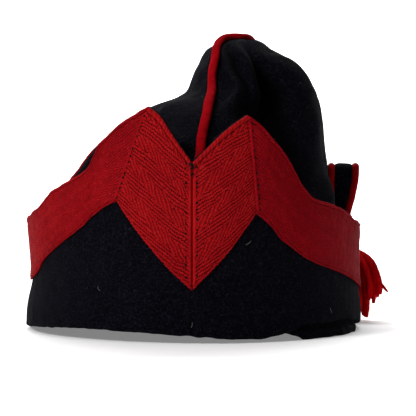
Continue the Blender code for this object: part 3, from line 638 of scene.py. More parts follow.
def uneven(points, name):
    """Named unevenness of the cloth at points in space."""
    height, wavelength, seed = RIPPLES[name]
    return height * ripple(points, wavelength, seed)


def wall_points(size, turn, height, out):
    """Points on the turban's wall, moved outwards from its face."""
    turn, height, out = np.broadcast_arrays(turn, height, out)
    angle = np.radians(turn)
    sine = np.sin(angle)
    cosine = np.cos(angle)
    normal = unit(np.stack([sine * size.half_depth, -cosine * size.half_width], -1))
    side = np.abs(sine) ** 3
    lean = SIDE_LEAN * side * smoothstep(LEAN_START, LEAN_END, height)
    waist = WAIST_DEPTH * side * bell(height, WAIST_HEIGHT, WAIST_SPREAD)
    base = np.stack([sine * size.half_width, -cosine * size.half_depth, height], -1)
    level = out - lean - np.where(turn < 0.0, waist, 0.0) + uneven(base, "wall")
    return base + np.concatenate([normal, np.zeros_like(normal[..., :1])], -1) * level[..., None]


def fold_rise(size, turn, share):
    """How far the gathers and billows move the crown's cloth outwards."""
    rise = 0.0
    along = (share - LOW_FOLD) / (HIGH_FOLD - LOW_FOLD)
    for low_turn, high_turn, low_spread, high_spread, depth, start, end in CROWN_FOLDS:
        middle = low_turn + (high_turn - low_turn) * along
        spread = low_spread + (high_spread - low_spread) * np.clip(along, -0.3, 1.2)
        away = (turn - middle + 180.0) % 360.0 - 180.0
        fade = smoothstep(start, start + FOLD_RAMP, share) * (1.0 - smoothstep(end - FOLD_RAMP, end, share))
        rise = rise + depth * fade * np.exp(-0.5 * (away / spread) ** 2)
    return rise * size.fold_depth


def crown_base(size, turn, share):
    """Points on the crown before it is gathered."""
    left = crown_left(share) * size.half_width
    right = crown_right(share) * size.half_width
    front = crown_front(share) * size.half_depth
    rear = crown_rear(share) * size.half_depth
    angle = np.radians(turn)
    return np.stack([0.5 * (left + right) + 0.5 * (right - left) * np.sin(angle),
                     0.5 * (front + rear) - 0.5 * (rear - front) * np.cos(angle),
                     share * size.crown_height + 0.0 * angle], -1)


def crown_step(size, turn, share):
    """Way round the crown over two small turns."""
    return crown_base(size, turn + NEAR_TURN, share) - crown_base(size, turn - NEAR_TURN, share)


def crown_normals(size, turn, share):
    """Outward directions of the crown before it is gathered."""
    low = np.maximum(CROWN_ROWS[0][0], share - NEAR_SHARE)
    high = np.minimum(CROWN_ROWS[-1][0], share + NEAR_SHARE)
    along = crown_base(size, turn, high) - crown_base(size, turn, low)
    return unit(np.cross(crown_step(size, turn, share), along))


def beside_cord(size, turn, share):
    """Turn of a line that runs beside a cord with the gap that the part has there."""
    reach = 0.5 * size.piping_width + BESIDE_GAP
    return turn + 2.0 * NEAR_TURN * reach / np.linalg.norm(crown_step(size, turn, share), axis=-1)


def crown_points(size, turn, share, out):
    """Points on the gathered crown, moved outwards from its face."""
    turn, share, out = np.broadcast_arrays(turn, share, out)
    rise = fold_rise(size, turn, share) + out
    return crown_base(size, turn, share) + crown_normals(size, turn, share) * rise[..., None]


def crown_pole(size, out):
    """Top point of the crown."""
    x, y, z = CROWN_POLE
    return np.array([x * size.half_width, y * size.half_depth, z * size.crown_height + out])


# Meshes

def add_object(name, data):
    """New object in the scene."""
    item = bpy.data.objects.new(name, data)
    bpy.context.scene.collection.objects.link(item)
    return item


def add_values(piece, label, values):
    """Give a piece one number at each of its points, for its material."""
    attribute = piece.data.attributes.new(label, "FLOAT", "POINT")
    attribute.data.foreach_set("value", values)


def plain_mesh(name, points, faces, material):
    """Smooth mesh with one material."""
    mesh = bpy.data.meshes.new(name)
    mesh.from_pydata(np.asarray(points).reshape(-1, 3).tolist(), [], faces)
    mesh.polygons.foreach_set("use_smooth", np.ones(len(mesh.polygons), bool))
    mesh.materials.append(material)
    return mesh


def add_piece(name, points, faces, material, replaced=(), uvs=None):
    """Make a smooth mesh piece that rides on the cap."""
    mesh = plain_mesh(name, points, faces, material)
    if uvs is not None:
        layer = mesh.uv_layers.new(name="weave")
        layer.data.foreach_set("uv", np.asarray(uvs, np.float32).ravel())
    mesh.update()
    piece = add_object(name, mesh)
    finish_piece(piece, replaced)
    return piece


def finish_piece(piece, replaced=()):
    """Attach a piece to the root body and hide the imported parts that it replaces."""
    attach(piece, "root")
    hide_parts(*replaced)


def grid_faces(rows, columns, wrap_rows=False, wrap_columns=True):
    """Quads of a grid of points that are stored row after row."""
    i = np.arange(rows if wrap_rows else rows - 1)[:, None]
    j = np.arange(columns if wrap_columns else columns - 1)[None, :]
    up = (i + 1) % rows
    right = (j + 1) % columns
    corners = (i * columns + j, i * columns + right, up * columns + right, up * columns + j)
    return np.stack(np.broadcast_arrays(*corners), -1).reshape(-1, 4).tolist()


def flipped(faces):
    """The same faces turned to the other side."""
    return [face[::-1] for face in faces]


def pole_faces(columns, start, pole):
    """Triangles from a closed row of points to a pole."""
    return [[start + j, start + (j + 1) % columns, pole] for j in range(columns)]


def end_faces(columns, count):
    """Faces that close the first and the last ring of a bar."""
    return [list(range(columns))[::-1], list(range(count - columns, count))]


def closed_grid(rings, first_pole, last_pole):
    """Points and faces of a grid of rings with a pole at each end."""
    rows, columns = rings.shape[:2]
    count = rows * columns
    points = np.concatenate([rings.reshape(-1, 3), first_pole[None], last_pole[None]])
    faces = grid_faces(rows, columns) + [[right, left, pole] for left, right, pole in
                                         pole_faces(columns, 0, count)]
    return points, faces + pole_faces(columns, count - columns, count + 1)


def tube(centres, across, out, ring_points):
    """Points and faces of a closed bar whose section follows a line of centres."""
    rings = (centres[:, None, :] + across[:, None, :] * ring_points[..., 0:1]
             + out[:, None, :] * ring_points[..., 1:2])
    return closed_grid(rings, rings[0].mean(0), rings[-1].mean(0))


def oval(count, half_width, half_height):
    """Points round an oval, as across and out."""
    angle = np.arange(count) * 2.0 * math.pi / count
    return np.stack([half_width * np.cos(angle), half_height * np.sin(angle)], -1)


def line_frames(centres, normals):
    """Unit directions across and out of a line that lies on a surface."""
    along = unit(np.gradient(centres, axis=0))
    across = unit(np.cross(along, normals))
    return across, unit(np.cross(across, along))


def even_points(points, spacing):
    """Parameters from 0 to 1 that step evenly along a line of points, and its length."""
    steps = np.linalg.norm(np.diff(points, axis=0), axis=-1)
    reach = np.concatenate([[0.0], np.cumsum(steps)])
    count = max(2, int(math.ceil(reach[-1] / spacing)) + 1)
    wanted = np.linspace(0.0, reach[-1], count)
    return np.interp(wanted, reach, np.linspace(0.0, 1.0, len(points))), reach[-1]


def between_points(points, share):
    """Points along a line at shares of its parameter."""
    keys = np.linspace(0.0, 1.0, len(points))
    return np.stack([np.interp(share, keys, points[:, axis]) for axis in range(3)], -1)


# Materials

def feed(node, inputs):
    """Set a node's inputs, or link them where the value is another node's output."""
    for key, value in inputs.items():
        if isinstance(value, bpy.types.NodeSocket):
            node.id_data.links.new(value, node.inputs[key])
        else:
            node.inputs[key].default_value = value


def node_adder(tree):
    """Function that adds a node to a tree, with its settings and inputs."""
    def add(kind, inputs=None, **settings):
        node = tree.nodes.new(kind)
        for key, value in settings.items():
            setattr(node, key, value)
        feed(node, inputs or {})
        return node

    return add


def new_material(name):
    """Material with its Principled shader, its node adder and the object's coordinates."""
    material = bpy.data.materials.new(name)
    material.use_nodes = True
    add = node_adder(material.node_tree)
    shader = material.node_tree.nodes["Principled BSDF"]
    return material, shader, add, add("ShaderNodeTexCoord").outputs["Object"]


def math_node(add, operation, first, second=0.0):
    """Output of a math node."""
    return add("ShaderNodeMath", {0: first, 1: second}, operation=operation).outputs[0]


def minus(add, first, second):
    """Output of one value less another."""
    return math_node(add, "SUBTRACT", first, second)


def total(add, first, *others):
    """Output of values added together."""
    for value in others:
        first = math_node(add, "ADD", first, value)
    return first


def product(add, first, *others):
    """Output of values multiplied together."""
    for value in others:
        first = math_node(add, "MULTIPLY", first, value)
    return first


def marked(add, label):
    """Output of the piece's own attribute."""
    return add("ShaderNodeAttribute", attribute_name=label).outputs["Fac"]


def bumpy(add, height, strength, distance):
    """Normal of a surface with small relief."""
    return add("ShaderNodeBump", {"Strength": strength, "Distance": distance,
                                  "Height": height}).outputs["Normal"]


def noise(add, where, scale, detail, roughness):
    """Output of a noise texture."""
    return add("ShaderNodeTexNoise", {"Vector": where, "Scale": scale, "Detail": detail,
                                      "Roughness": roughness}).outputs["Fac"]


def spread(add, value, low, high):
    """A value spread from low..high over 0..1."""
    return add("ShaderNodeMapRange", {"Value": value, "From Min": low,
                                      "From Max": high}).outputs["Result"]


def wave(add, phase):
    """Smooth wave that is 0 at whole phases and 1 half way between them."""
    swing = math_node(add, "COSINE", product(add, phase, 2.0 * math.pi))
    return minus(add, 0.5, product(add, swing, 0.5))


def blend(add, share, first, second, mode="MIX"):
    """Output of a colour mix."""
    ends = [value if isinstance(value, bpy.types.NodeSocket) else (*value, 1.0)
            for value in (first, second)]
    return add("ShaderNodeMix", {"Factor": share, 6: ends[0], 7: ends[1]},
               data_type="RGBA", blend_type=mode).outputs[2]


def wool_material(name, ground, nap):
    """Milled wool cloth: a dark ground, fibres that catch the light and a soft, lumpy nap."""
    material, shader, add, where = new_material(name)
    fibres = noise(add, where, *GRAINS["wool_fibres"])
    tufts = noise(add, where, *GRAINS["wool_tufts"])
    cloth = noise(add, where, *GRAINS["wool_cloth"])
    lit = spread(add, fibres, *FADES["wool_fibres"])
    patch = spread(add, tufts, *FADES["wool_tufts"])
    share = total(add, product(add, lit, patch, NAP_SHARE), product(add, cloth, NAP_CLOUDS * NAP_SHARE))
    # Painted shade: the hollow attribute darkens the bottom of the crown's deep folds
    shade = blend(add, marked(add, "hollow"), WHITE, HOLLOW_SHADE)
    feed(shader, {
        "Base Color": blend(add, 1.0, blend(add, share, ground, nap), shade, "MULTIPLY"),
        "Roughness": total(add, product(add, tufts, 0.15), 0.82),
        "Normal": bumpy(add, total(add, product(add, fibres, 0.45), tufts), *RELIEFS["wool"]),
        "Specular IOR Level": 0.02,
        "Sheen Weight": WOOL_SHEEN,
        "Sheen Roughness": 0.5,
        "Sheen Tint": SHEEN_TINT,
    })
    return material


def red_wool_material(name, colour, grain):
    """Red wool cloth or yarn with a fuzzy surface."""
    material, shader, add, where = new_material(name)
    fibres = noise(add, where, grain, 4.0, 0.7)
    lumps = noise(add, where, LUMP_SHARE * grain, 2.0, 0.5)
    deep = tuple(0.68 * channel for channel in colour)
    bright = tuple(min(1.0, 1.25 * channel + 0.004) for channel in colour)
    ground = blend(add, spread(add, lumps, *FADES["red_lumps"]), deep, colour)
    feed(shader, {
        "Base Color": blend(add, spread(add, fibres, *FADES["red_fibres"]), ground, bright),
        "Roughness": total(add, product(add, lumps, 0.15), 0.78),
        "Normal": bumpy(add, total(add, product(add, fibres, 0.5), lumps), *RELIEFS["red_wool"]),
        "Specular IOR Level": 0.01,
    })
    return material


def weave_depth(add, lace, along, across, wobble):
    """Depth between the herringbone's ribs, with the pinholes that break them."""
    jagged = total(add, across, product(add, wobble, BAND_WANDER))
    turn = math_node(add, "FRACT", math_node(add, "DIVIDE", jagged, lace.width / lace.repeats))
    wide = math_node(add, "LESS_THAN", turn, lace.wide_share)
    phases = []
    for angle in (-lace.steep_angle, lace.rib_angle):
        climb = product(add, across, math.copysign(math.cos(angle), angle) / lace.rib_pitch)
        shift = product(add, along, abs(math.sin(angle)) / lace.rib_pitch)
        phases.append(total(add, climb, shift))
    chosen = product(add, wide, minus(add, phases[1], phases[0]))
    phase = total(add, phases[0], chosen, product(add, wobble, RIB_WANDER))
    stagger = product(add, math_node(add, "ROUND", phase), 0.5)
    dots = wave(add, total(add, math_node(add, "DIVIDE", along, lace.float_length), stagger))
    groove = product(add, wave(add, phase), total(add, product(add, wide, SHALLOW_MORE), STEEP_DEPTH))
    return product(add, groove, total(add, dots, BETWEEN_HOLES))


def lace_material(name, lace, colours):
    """Worsted herringbone lace with rolled, twisted edges and duller patches.

    The attribute crisp says how much of the weave is left; the other attribute gives the painted shade that
    darkens the side panels.
    """
    material, shader, add, where = new_material(name)
    place = add("ShaderNodeSeparateXYZ", {0: add("ShaderNodeUVMap", uv_map="weave").outputs["UV"]})
    along = place.outputs["X"]
    across = place.outputs["Y"]
    wobble = minus(add, noise(add, where, *GRAINS["lace_wobble"]), 0.5)
    fuzz = noise(add, where, *GRAINS["lace_fuzz"])
    clumps = spread(add, noise(add, where, *GRAINS["lace_clumps"]), *FADES["lace_clumps"])
    inset = math_node(add, "MINIMUM", product(add, across, LOW_ROLL), minus(add, lace.width, across))
    inside = spread(add, inset, lace.roll, lace.roll + ROLL_FADE)
    beside = math_node(add, "ABSOLUTE", minus(add, inset, LINE_PLACE * lace.roll))
    line = spread(add, beside, LINE_WIDTH, 0.0)
    weave = product(add, weave_depth(add, lace, along, across, wobble),
                    total(add, product(add, clumps, CLUMPING), 1.0 - CLUMPING), inside,
                    marked(add, "crisp"))
    twist = wave(add, math_node(add, "DIVIDE", total(add, along, inset), SCALLOP_PITCH))
    rope = product(add, twist, minus(add, ROPE_DEPTH, product(add, inside, ROPE_DEPTH)))
    depth = total(add, weave, rope)
    # Painted shade: the depth of the grooves, the dark line and the twist darkens the ribs
    dark = total(add, depth, product(add, line, LINE_DEPTH))
    lit = minus(add, total(add, product(add, fuzz, FUZZ_LIGHT), RIB_LIGHT), dark)
    ribs = blend(add, lit, tuple(colours.groove), tuple(colours.lace))
    gleams = spread(add, noise(add, where, *GRAINS["lace_gleam"]), *FADES["lace_gleam"])
    shine = product(add, gleams, GLEAM_SHARE, minus(add, 1.0, depth))
    patches = spread(add, noise(add, where, *GRAINS["lace_wear"]), *FADES["lace_wear"])
    # Painted shade darkens the side panels, the right half more, away from the light; the duller patches are
    # random wear
    shade = blend(add, 1.0, blend(add, marked(add, "panel_shade"), WHITE, SIDE_PANEL_SHADE),
                  blend(add, patches, RUBBED, WHITE), "MULTIPLY")
    feed(shader, {
        "Base Color": blend(add, 1.0, blend(add, shine, ribs, GLEAM), shade, "MULTIPLY"),
        "Roughness": 0.75,
        "Normal": bumpy(add, minus(add, product(add, fuzz, 0.6), depth), *RELIEFS["lace"]),
        "Specular IOR Level": 0.02,
    })
    return material


def plain_material(name, colour, roughness, speckle):
    """Thread, fibre or floor: one colour with a faint variation."""
    material, shader, add, where = new_material(name)
    dark = tuple((1.0 - speckle) * channel for channel in colour)
    feed(shader, {
        "Base Color": blend(add, noise(add, where, *GRAINS["plain"]), dark, tuple(colour)),
        "Roughness": roughness,
        "Specular IOR Level": 0.1,
    })
    return material


def cap_material(name):
    """Material of the cap by name, made when it is first asked for."""
    if name in bpy.data.materials:
        return bpy.data.materials[name]
    colours = bpy.context.scene.cap_colours
    if name == "napped_wool":
        return wool_material(name, tuple(colours.wool), tuple(colours.nap))
    if name == "cord_cloth":
        return red_wool_material(name, tuple(colours.piping), CORD_GRAIN)
    if name == "plied_yarn":
        return red_wool_material(name, tuple(colours.yarn), YARN_GRAIN)
    if name == "herringbone_lace":
        return lace_material(name, bpy.context.scene.cap_lace, colours)
    if name == "dark_thread":
        return plain_material(name, tuple(colours.thread), 0.8, 0.4)
    if name == "light_fibre":
        return plain_material(name, tuple(colours.fibre), 0.7, 0.4)
    raise ValueError("no material named " + name)


# Turban

def lace_panels(rows):
    """Smooth edges of each stretch of the lace between its mitres, as functions of a share."""
    cuts = [0] + [i for i, row in enumerate(rows) if row[0] in MITRE_TURNS] + [len(rows) - 1]
    panels = []
    for first, last in zip(cuts, cuts[1:]):
        part = rows[first:last + 1]
        keys = [abs(row[0] + row[2] - part[0][0] - part[0][2]) for row in part]
        keyed = [(key / keys[-1], *row) for key, row in zip(keys, part)]
        panels.append([smooth_curve(keyed, column) for column in range(1, 5)])
    return panels


def turban_top():
    """Height share of the turban's top edge as a function of the turn."""
    samples = []
    for rows in (LACE_LEFT, LACE_RIGHT):
        for panel in lace_panels(rows):
            share = np.linspace(0.0, 1.0, 60)
            samples += list(zip(panel[0](share), panel[1](share)))
    samples.sort()
    turns = np.array([turn for turn, _ in samples])
    tops = np.array([top for _, top in samples])

    def value(turn):
        width = np.array([-0.5, -0.25, 0.0, 0.25, 0.5])
        near = [np.interp((turn + step + 180.0) % 360.0 - 180.0, turns, tops) for step in width]
        return np.mean(near, axis=0)

    return value


def front_columns(front, rest, reach):
    """Turns all round, closer together over the front, which ends at the reach."""
    near = np.linspace(-reach, reach, front, endpoint=False)
    far = np.linspace(reach, 360.0 - reach, rest, endpoint=False)
    turns = np.concatenate([near, far])
    return (turns + 180.0) % 360.0 - 180.0


def make_turban(size):
    """Turn-up of thick milled wool with a rounded rim and a soft lower edge."""
    turns = front_columns(*TURBAN_COLUMNS)
    bare = BARE_RIM * bell(turns, BARE_TURN, BARE_SPREAD)
    top = turban_top()(turns) * size.peak_height + RIM_ABOVE_LACE + bare
    foot = turban_wave(turns) * LIFT
    low = foot + RIM_ROUND
    high = top - RIM_ROUND
    half = 0.5 * size.turban_thick
    rows = [(0.0, low + share * (high - low)) for share in np.linspace(0.0, 1.0, TURBAN_ROWS[0])]
    rows += [(half * math.cos(angle) - half, high + RIM_ROUND * math.sin(angle)) for angle in RIM_ANGLES]
    rows += [(-2.0 * half, low + share * (high - low)) for share in np.linspace(1.0, 0.0, TURBAN_ROWS[1])]
    rows += [(half * math.cos(angle) - half, low + RIM_ROUND * math.sin(angle)) for angle in FOOT_ANGLES]
    out = np.array([np.full_like(turns, level) for level, _ in rows])
    height = np.array([row for _, row in rows])
    base = wall_points(size, turns, height, 0.0)
    outside = smoothstep(-1.2 * half, 0.0, out)
    seam = FRONT_SEAM_DEPTH * bell(turns, 0.0, FRONT_SEAM_WIDTH) * outside
    out = out + outside * (uneven(base, "turban_face") - seam)
    nearness = np.abs(2.0 * (height - foot) / (top - foot) - 1.0)
    height = height + uneven(base, "turban_edge") * smoothstep(0.6, 1.0, nearness)
    points = wall_points(size, turns, np.maximum(height, 0.0), out)
    add_piece("turban_cloth", points, flipped(grid_faces(*out.shape, wrap_rows=True)),
              cap_material("napped_wool"), ["turban"])


def lace_relief(lace, along, across, before, after, fold):
    """Height of the lace's face: ribs, rolled edges, a groove inside them, and its sewn ends."""
    wide = (across * lace.repeats / lace.width) % 1.0 < lace.wide_share
    shallow = across * math.cos(lace.rib_angle) + along * math.sin(lace.rib_angle)
    steep = along * math.sin(lace.steep_angle) - across * math.cos(lace.steep_angle)
    phase = np.where(wide, shallow, steep) / lace.rib_pitch
    ribs = lace.rib_height * (0.5 + 0.5 * np.cos(2.0 * math.pi * phase)) * np.where(wide, 1.0, STEEP_SHARE)
    ribs = ribs * smoothstep(PLAIN_END - PLAIN_FADE, PLAIN_END, before)
    inset = np.minimum(across * LOW_ROLL, lace.width - across)
    edge = np.sqrt(np.clip(1.0 - (inset / lace.roll - 0.5) ** 2 * 4.0, 0.0, 1.0))
    relief = np.where(inset < lace.roll, ROLL_RISE * edge - ROLL_FOOT, ribs)
    relief = relief - GROOVE_DEPTH * bell(inset, GROOVE_PLACE * lace.roll, GROOVE_WIDTH)
    relief = relief - THIN_DEPTH * (1.0 - smoothstep(0.0, THIN_WIDTH, across))
    for distance, (depth, width) in ((after, END_DIP), (before, START_DIP)):
        relief = relief - depth * bell(distance, 0.0, width)
    return relief + fold * bell(before, FOLD_PLACE, FOLD_WIDTH)


def lace_panel(size, lace, edges, reach, shifts, fold, weave_left):
    """One stretch of lace between two mitres: points, weave coordinates, weave left, and its run.

    The shifts are the turns by which its first and its last end keep clear of a seam.
    """
    top_turn, top, low_turn, low = edges
    rough = np.linspace(0.0, 1.0, 80)
    middle = wall_points(size, 0.5 * (top_turn(rough) + low_turn(rough)),
                         0.5 * (top(rough) + low(rough)) * size.peak_height, 0.0)
    share, run = even_points(middle, LACE_STEP)
    share = share[:, None]
    shift = shifts[0] * (1.0 - smoothstep(0.0, 0.2, share)) - shifts[1] * smoothstep(0.8, 1.0, share)

    def place(across):
        turn = low_turn(share) + shift + (top_turn(share) - low_turn(share)) * across
        return turn, (low(share) + (top(share) - low(share)) * across) * size.peak_height

    turn, height = place(LACE_ACROSS)
    face = wall_points(size, turn, height, 0.0)
    centre = face[:, face.shape[1] // 2]
    shear = ((face - centre[:, None]) * unit(np.gradient(centre, axis=0))[:, None]).sum(-1)
    walked = np.linspace(0.0, run, len(share))[:, None]
    along = reach + walked + shear + uneven(face, "lace_along")
    across = lace.width * LACE_ACROSS + uneven(face, "lace_across")
    steps = np.linalg.norm(np.diff(face, axis=0), axis=-1)
    before = np.concatenate([np.zeros((1, face.shape[1])), np.cumsum(steps, axis=0)])
    out = LACE_GAP + lace.thick + lace_relief(lace, along, across, before, before[-1:] - before, fold)
    scallops = lace.scallop * (0.5 + 0.5 * np.cos(2.0 * math.pi * along / SCALLOP_PITCH))
    height = height - scallops * (1.0 - smoothstep(0.0, SCALLOP_REACH, LACE_ACROSS))
    slack = uneven(face, "lace_slack") + uneven(face, "lace_fine")
    ring = np.concatenate([wall_points(size, turn, height + 0.4 * slack, out + slack),
                           wall_points(size, *place(LACE_BACK), 0.2 * LACE_GAP)], axis=1)
    back_along = along[:, -1:] + 0.0 * LACE_BACK
    weave = np.stack([np.concatenate([along, back_along], axis=1),
                      np.concatenate([across, lace.width * LACE_BACK + 0.0 * back_along], axis=1)], -1)
    crisp = weave_left * smoothstep(PLAIN_END - PLAIN_FADE, PLAIN_END, before)
    return ring, weave, np.concatenate([crisp, 0.0 * back_along], axis=1), run


def make_lace_half(size, lace, name, rows, node):
    """Half of the lace with its ribs in relief and the weave's coordinates in its UV map."""
    side = int(rows is LACE_RIGHT)
    way = math.copysign(1.0, rows[-1][0])
    seam_turn = way * math.degrees(0.5 * SEAM_GAP / size.half_width)
    panels = lace_panels(rows)
    points = []
    faces = []
    uvs = []
    crisps = []
    panel_shades = []
    reach = 0.0
    start = 0
    for number, edges in enumerate(panels):
        first = number == 0
        shifts = (seam_turn * first, seam_turn * (number == len(panels) - 1))
        ring, weave, crisp, run = lace_panel(size, lace, edges, reach, shifts,
                                             LACE_FOLDS[side].get(number, 0.0),
                                             1.0 if first else WORN_WEAVE[side])
        columns = ring.shape[1]
        shared = 0 if first else 1
        local = np.array(grid_faces(*crisp.shape))
        faces += (local + start - shared * columns).tolist()
        uvs.append(weave.reshape(-1, 2)[local])
        points.append(ring[shared:].reshape(-1, 3))
        crisps.append(crisp[shared:].ravel())
        # Painted shade for the side panels, none on the front panel
        panel_shades.append(np.full(len(points[-1]), 0.0 if first else SIDE_SHADE_SHARE[side]))
        start += len(points[-1])
        reach += run
    faces += end_faces(columns, start)
    uvs = np.concatenate(uvs)
    if way < 0.0:
        faces = flipped(faces)
        uvs = uvs[:, ::-1]
    uvs = np.concatenate([uvs.reshape(-1, 2), np.zeros((2 * columns, 2))])
    piece = add_piece(name, np.concatenate(points), faces, cap_material("herringbone_lace"),
                      [node], uvs)
    add_values(piece, "crisp", np.concatenate(crisps))
    add_values(piece, "panel_shade", np.concatenate(panel_shades))


def make_band(size):
    """Inner layer of cloth, which bulges out in soft lumps under the turban's lifted edge."""
    turns = front_columns(*BAND_COLUMNS)
    foot = band_wave(turns) * LIFT
    room = turban_wave(turns) * LIFT - foot
    lifted = smoothstep(0.3, 0.8, room / LIFT)
    outer = -size.turban_thick - LAID_GAP
    bulge = BAND_BULGE * lifted
    bend = foot + np.maximum(0.45 * room, 0.1 * LIFT)
    shoulder = foot + np.maximum(room - SEWN_GAP, 0.3 * LIFT)
    low = foot + BAND_ROUND
    heights = [low + (shoulder - low) * share for share in np.linspace(0.0, 1.0, 16)]
    heights += [shoulder + (BAND_TOP.z - shoulder) * share for share in (0.15, 0.4, 0.7, 1.0)]
    outs = [outer + bulge * (1.0 - smoothstep(bend, shoulder, height)) for height in heights]
    outs += [level - BAND_THICK for level in outs[::-3]]
    outs += [outer + bulge - BAND_THICK * share for share in (0.85, 0.5, 0.15)]
    height = np.array(heights + heights[::-3] + [foot + BAND_TUCK, foot, foot + BAND_TUCK])
    out = np.array(outs)
    base = wall_points(size, turns, height, out)
    lumps = lifted * (1.0 - smoothstep(0.0, 1.0, (height - foot) / LIFT))
    out = out + lumps * uneven(base, "band_lumps")
    height = np.maximum(height + lumps * uneven(base, "band_foot"), 0.0)
    add_piece("band_cloth", wall_points(size, turns, height, out),
              flipped(grid_faces(*height.shape, wrap_rows=True)), cap_material("napped_wool"),
              ["inner_band"])


# Crown

def route_lines(size):
    """Lines of points on the crown that its seams follow."""
    lines = []
    for route in (FRONT_ROUTE, FALL_ROUTE, REAR_ROUTE):
        heights = [point[1] for point in route]
        share = np.linspace(min(heights), max(heights), 160)
        lines.append(crown_points(size, route_turn(route)(share), share, 0.0))
    return np.concatenate(lines)


def seam_nearness(points, line, reach):
    """1 on a seam's line and 0 beyond its reach."""
    tree = KDTree(len(line))
    for i, point in enumerate(line):
        tree.insert(point, i)
    tree.balance()
    flat = points.reshape(-1, 3)
    distance = np.array([tree.find(point)[2] for point in flat]).reshape(points.shape[:-1])
    return 1.0 - smoothstep(0.3 * reach, reach, distance)


def crown_shares(size, count):
    """Heights of the crown's rows, evenly spaced along its profile."""
    fine = np.linspace(CROWN_ROWS[0][0], CROWN_ROWS[-1][0], PROFILE_SAMPLES)
    profiles = [crown_base(size, np.full_like(fine, turn), fine) for turn in (0.0, 90.0, 180.0, 270.0)]
    steps = np.mean([np.linalg.norm(np.diff(profile, axis=0), axis=-1) for profile in profiles], axis=0)
    reach = np.concatenate([[0.0], np.cumsum(steps)])
    return np.interp(np.linspace(0.0, reach[-1], count), reach, fine)


def crown_between(size, low, high, count):
    """Heights between two shares, evenly spaced along the crown's profile."""
    shares = crown_shares(size, PROFILE_SAMPLES)
    inside = shares[(shares > low) & (shares < high)]
    shares = np.concatenate([[low], inside, [high]])
    return shares[np.linspace(0, len(shares) - 1, count).astype(int)]


def make_crown(size):
    """Tall hollow bag of soft wool with gathers, a deep hollow, a billow and sewn seams."""
    turns = front_columns(*CROWN_COLUMNS)
    shares = crown_shares(size, CROWN_LEVELS)
    turn, share = np.meshgrid(turns, shares)
    outer = crown_points(size, turn, share, 0.0)
    near = seam_nearness(outer, route_lines(size), SEAM_REACH)
    slack = (uneven(outer, "crown_slack") + uneven(outer, "crown_fine")) * (1.0 - near) - SEAM_DIP * near
    outer = outer + crown_normals(size, turn, share) * (slack * smoothstep(*TUCK, share))[..., None]
    foot_height = np.full_like(turns, BAND_TOP.z + SEWN_GAP)
    foot_out = -size.turban_thick - LAID_GAP
    foot, inner_foot = [wall_points(size, turns, foot_height, foot_out - depth)
                        for depth in (0.0, size.crown_thick)]
    inner = crown_points(size, turns, shares[::6, None], -size.crown_thick)
    poles = [crown_pole(size, level) for level in (0.0, -size.crown_thick)]
    domes = [[pole + (top - pole) * step for step in DOME_STEPS]
             for pole, top in zip(poles, (outer[-1], inner[-1]))]
    rings = np.array(domes[0][::-1] + list(outer[::-1]) + [0.5 * (foot + outer[0]), foot, inner_foot]
                     + list(inner) + domes[1])
    points, faces = closed_grid(rings, *poles)
    piece = add_piece("crown_cloth", points, flipped(faces), cap_material("napped_wool"),
                      ["crown"])
    # Painted shade in the folds, darkest where a fold sinks deepest, set to the left onto the flank away from
    # the light
    hollow = np.zeros(rings.shape[:2])
    shade = smoothstep(0.0, HOLLOW_DEPTH, -fold_rise(size, turn + SHADE_TURN, share))
    hollow[len(DOME_STEPS):len(DOME_STEPS) + len(shares)] = shade[::-1]
    add_values(piece, "hollow", np.append(hollow.ravel(), (0.0, 0.0)))


def make_tail(size):
    """Flattened end of the bag on the crown's right rear side."""
    share = np.linspace(TAIL_ROWS[0][0], TAIL_ROWS[-1][0], TAIL_GRID[0])[:, None]
    across = np.linspace(0.0, 1.0, TAIL_GRID[1])
    front = beside_cord(size, falling_turn(share), share)
    turn = front + (smooth_curve(TAIL_ROWS, 1)(share) - front) * across
    level = share + 0.0 * turn
    rounded = np.sqrt(np.clip(1.0 - (2.0 * across - 1.0) ** 8, 0.0, 1.0))
    out = TAIL_GAP + size.tail_thick * smooth_curve(TAIL_ROWS, 2)(share) * (0.25 + 0.75 * rounded)
    face = crown_points(size, turn, level, out)
    face = crown_points(size, turn, level, out + uneven(face, "tail_slack"))
    back = crown_points(size, turn[:, ::-6], level[:, ::-6], 0.3 * TAIL_GAP)
    ring = np.concatenate([face, back], axis=1)
    rows, columns = ring.shape[:2]
    faces = grid_faces(rows, columns) + end_faces(columns, rows * columns)
    add_piece("tail_cloth", ring, faces, cap_material("napped_wool"), ["tail"])


# Piping

def lumpy_ring(count, rows, half_width, half_height, seed):
    """Sections of a cloth-covered cord, a little uneven along its length."""
    random = np.random.default_rng(seed)
    ring = oval(count, half_width, half_height)
    swell = 1.0 + CORD_UNEVEN * np.convolve(random.normal(size=rows + 8), np.ones(9) / 3.0, mode="valid")
    return ring[None] * swell[:, None, None]


def add_cord(name, centres, across, out, rings, node):
    """Cloth-covered cord with given sections along a line."""
    points, faces = tube(centres, across, out, rings)
    add_piece(name, points, faces, cap_material("cord_cloth"), [node])


def cord_on_crown(size, name, line, node, seed):
    """Cord that lies along a line of points above the crown, with the crown's directions there."""
    centres, normals = evened(line)
    across, out = line_frames(centres, normals)
    rings = lumpy_ring(CORD_SIDES, len(centres), CORD_HALF_WIDTH * size.piping_width,
                       CORD_HALF_RISE * size.piping_rise, seed)
    add_cord(name, centres, across, out, rings, node)


def crown_line(size, turn_at, heights, out, count):
    """Points above the crown along a route between two heights, and the crown's directions there."""
    share = crown_between(size, min(heights), max(heights), count)
    return crown_points(size, turn_at(share), share, out), crown_normals(size, turn_at(share), share)


def evened(line):
    """The same line with evenly spaced points, softened at its joints."""
    centres, normals = line
    share, _ = even_points(centres, CORD_STEP)
    window = 2 * CORD_SOFTEN + 1
    result = []
    for values in (centres, normals):
        even = between_points(values, share)
        padded = np.concatenate([np.repeat(even[:1], CORD_SOFTEN, 0), even,
                                 np.repeat(even[-1:], CORD_SOFTEN, 0)])
        result.append(sum(padded[i:i + len(even)] for i in range(window)) / window)
    result[0][0] = centres[0]
    result[0][-1] = centres[-1]
    return result[0], unit(result[1])


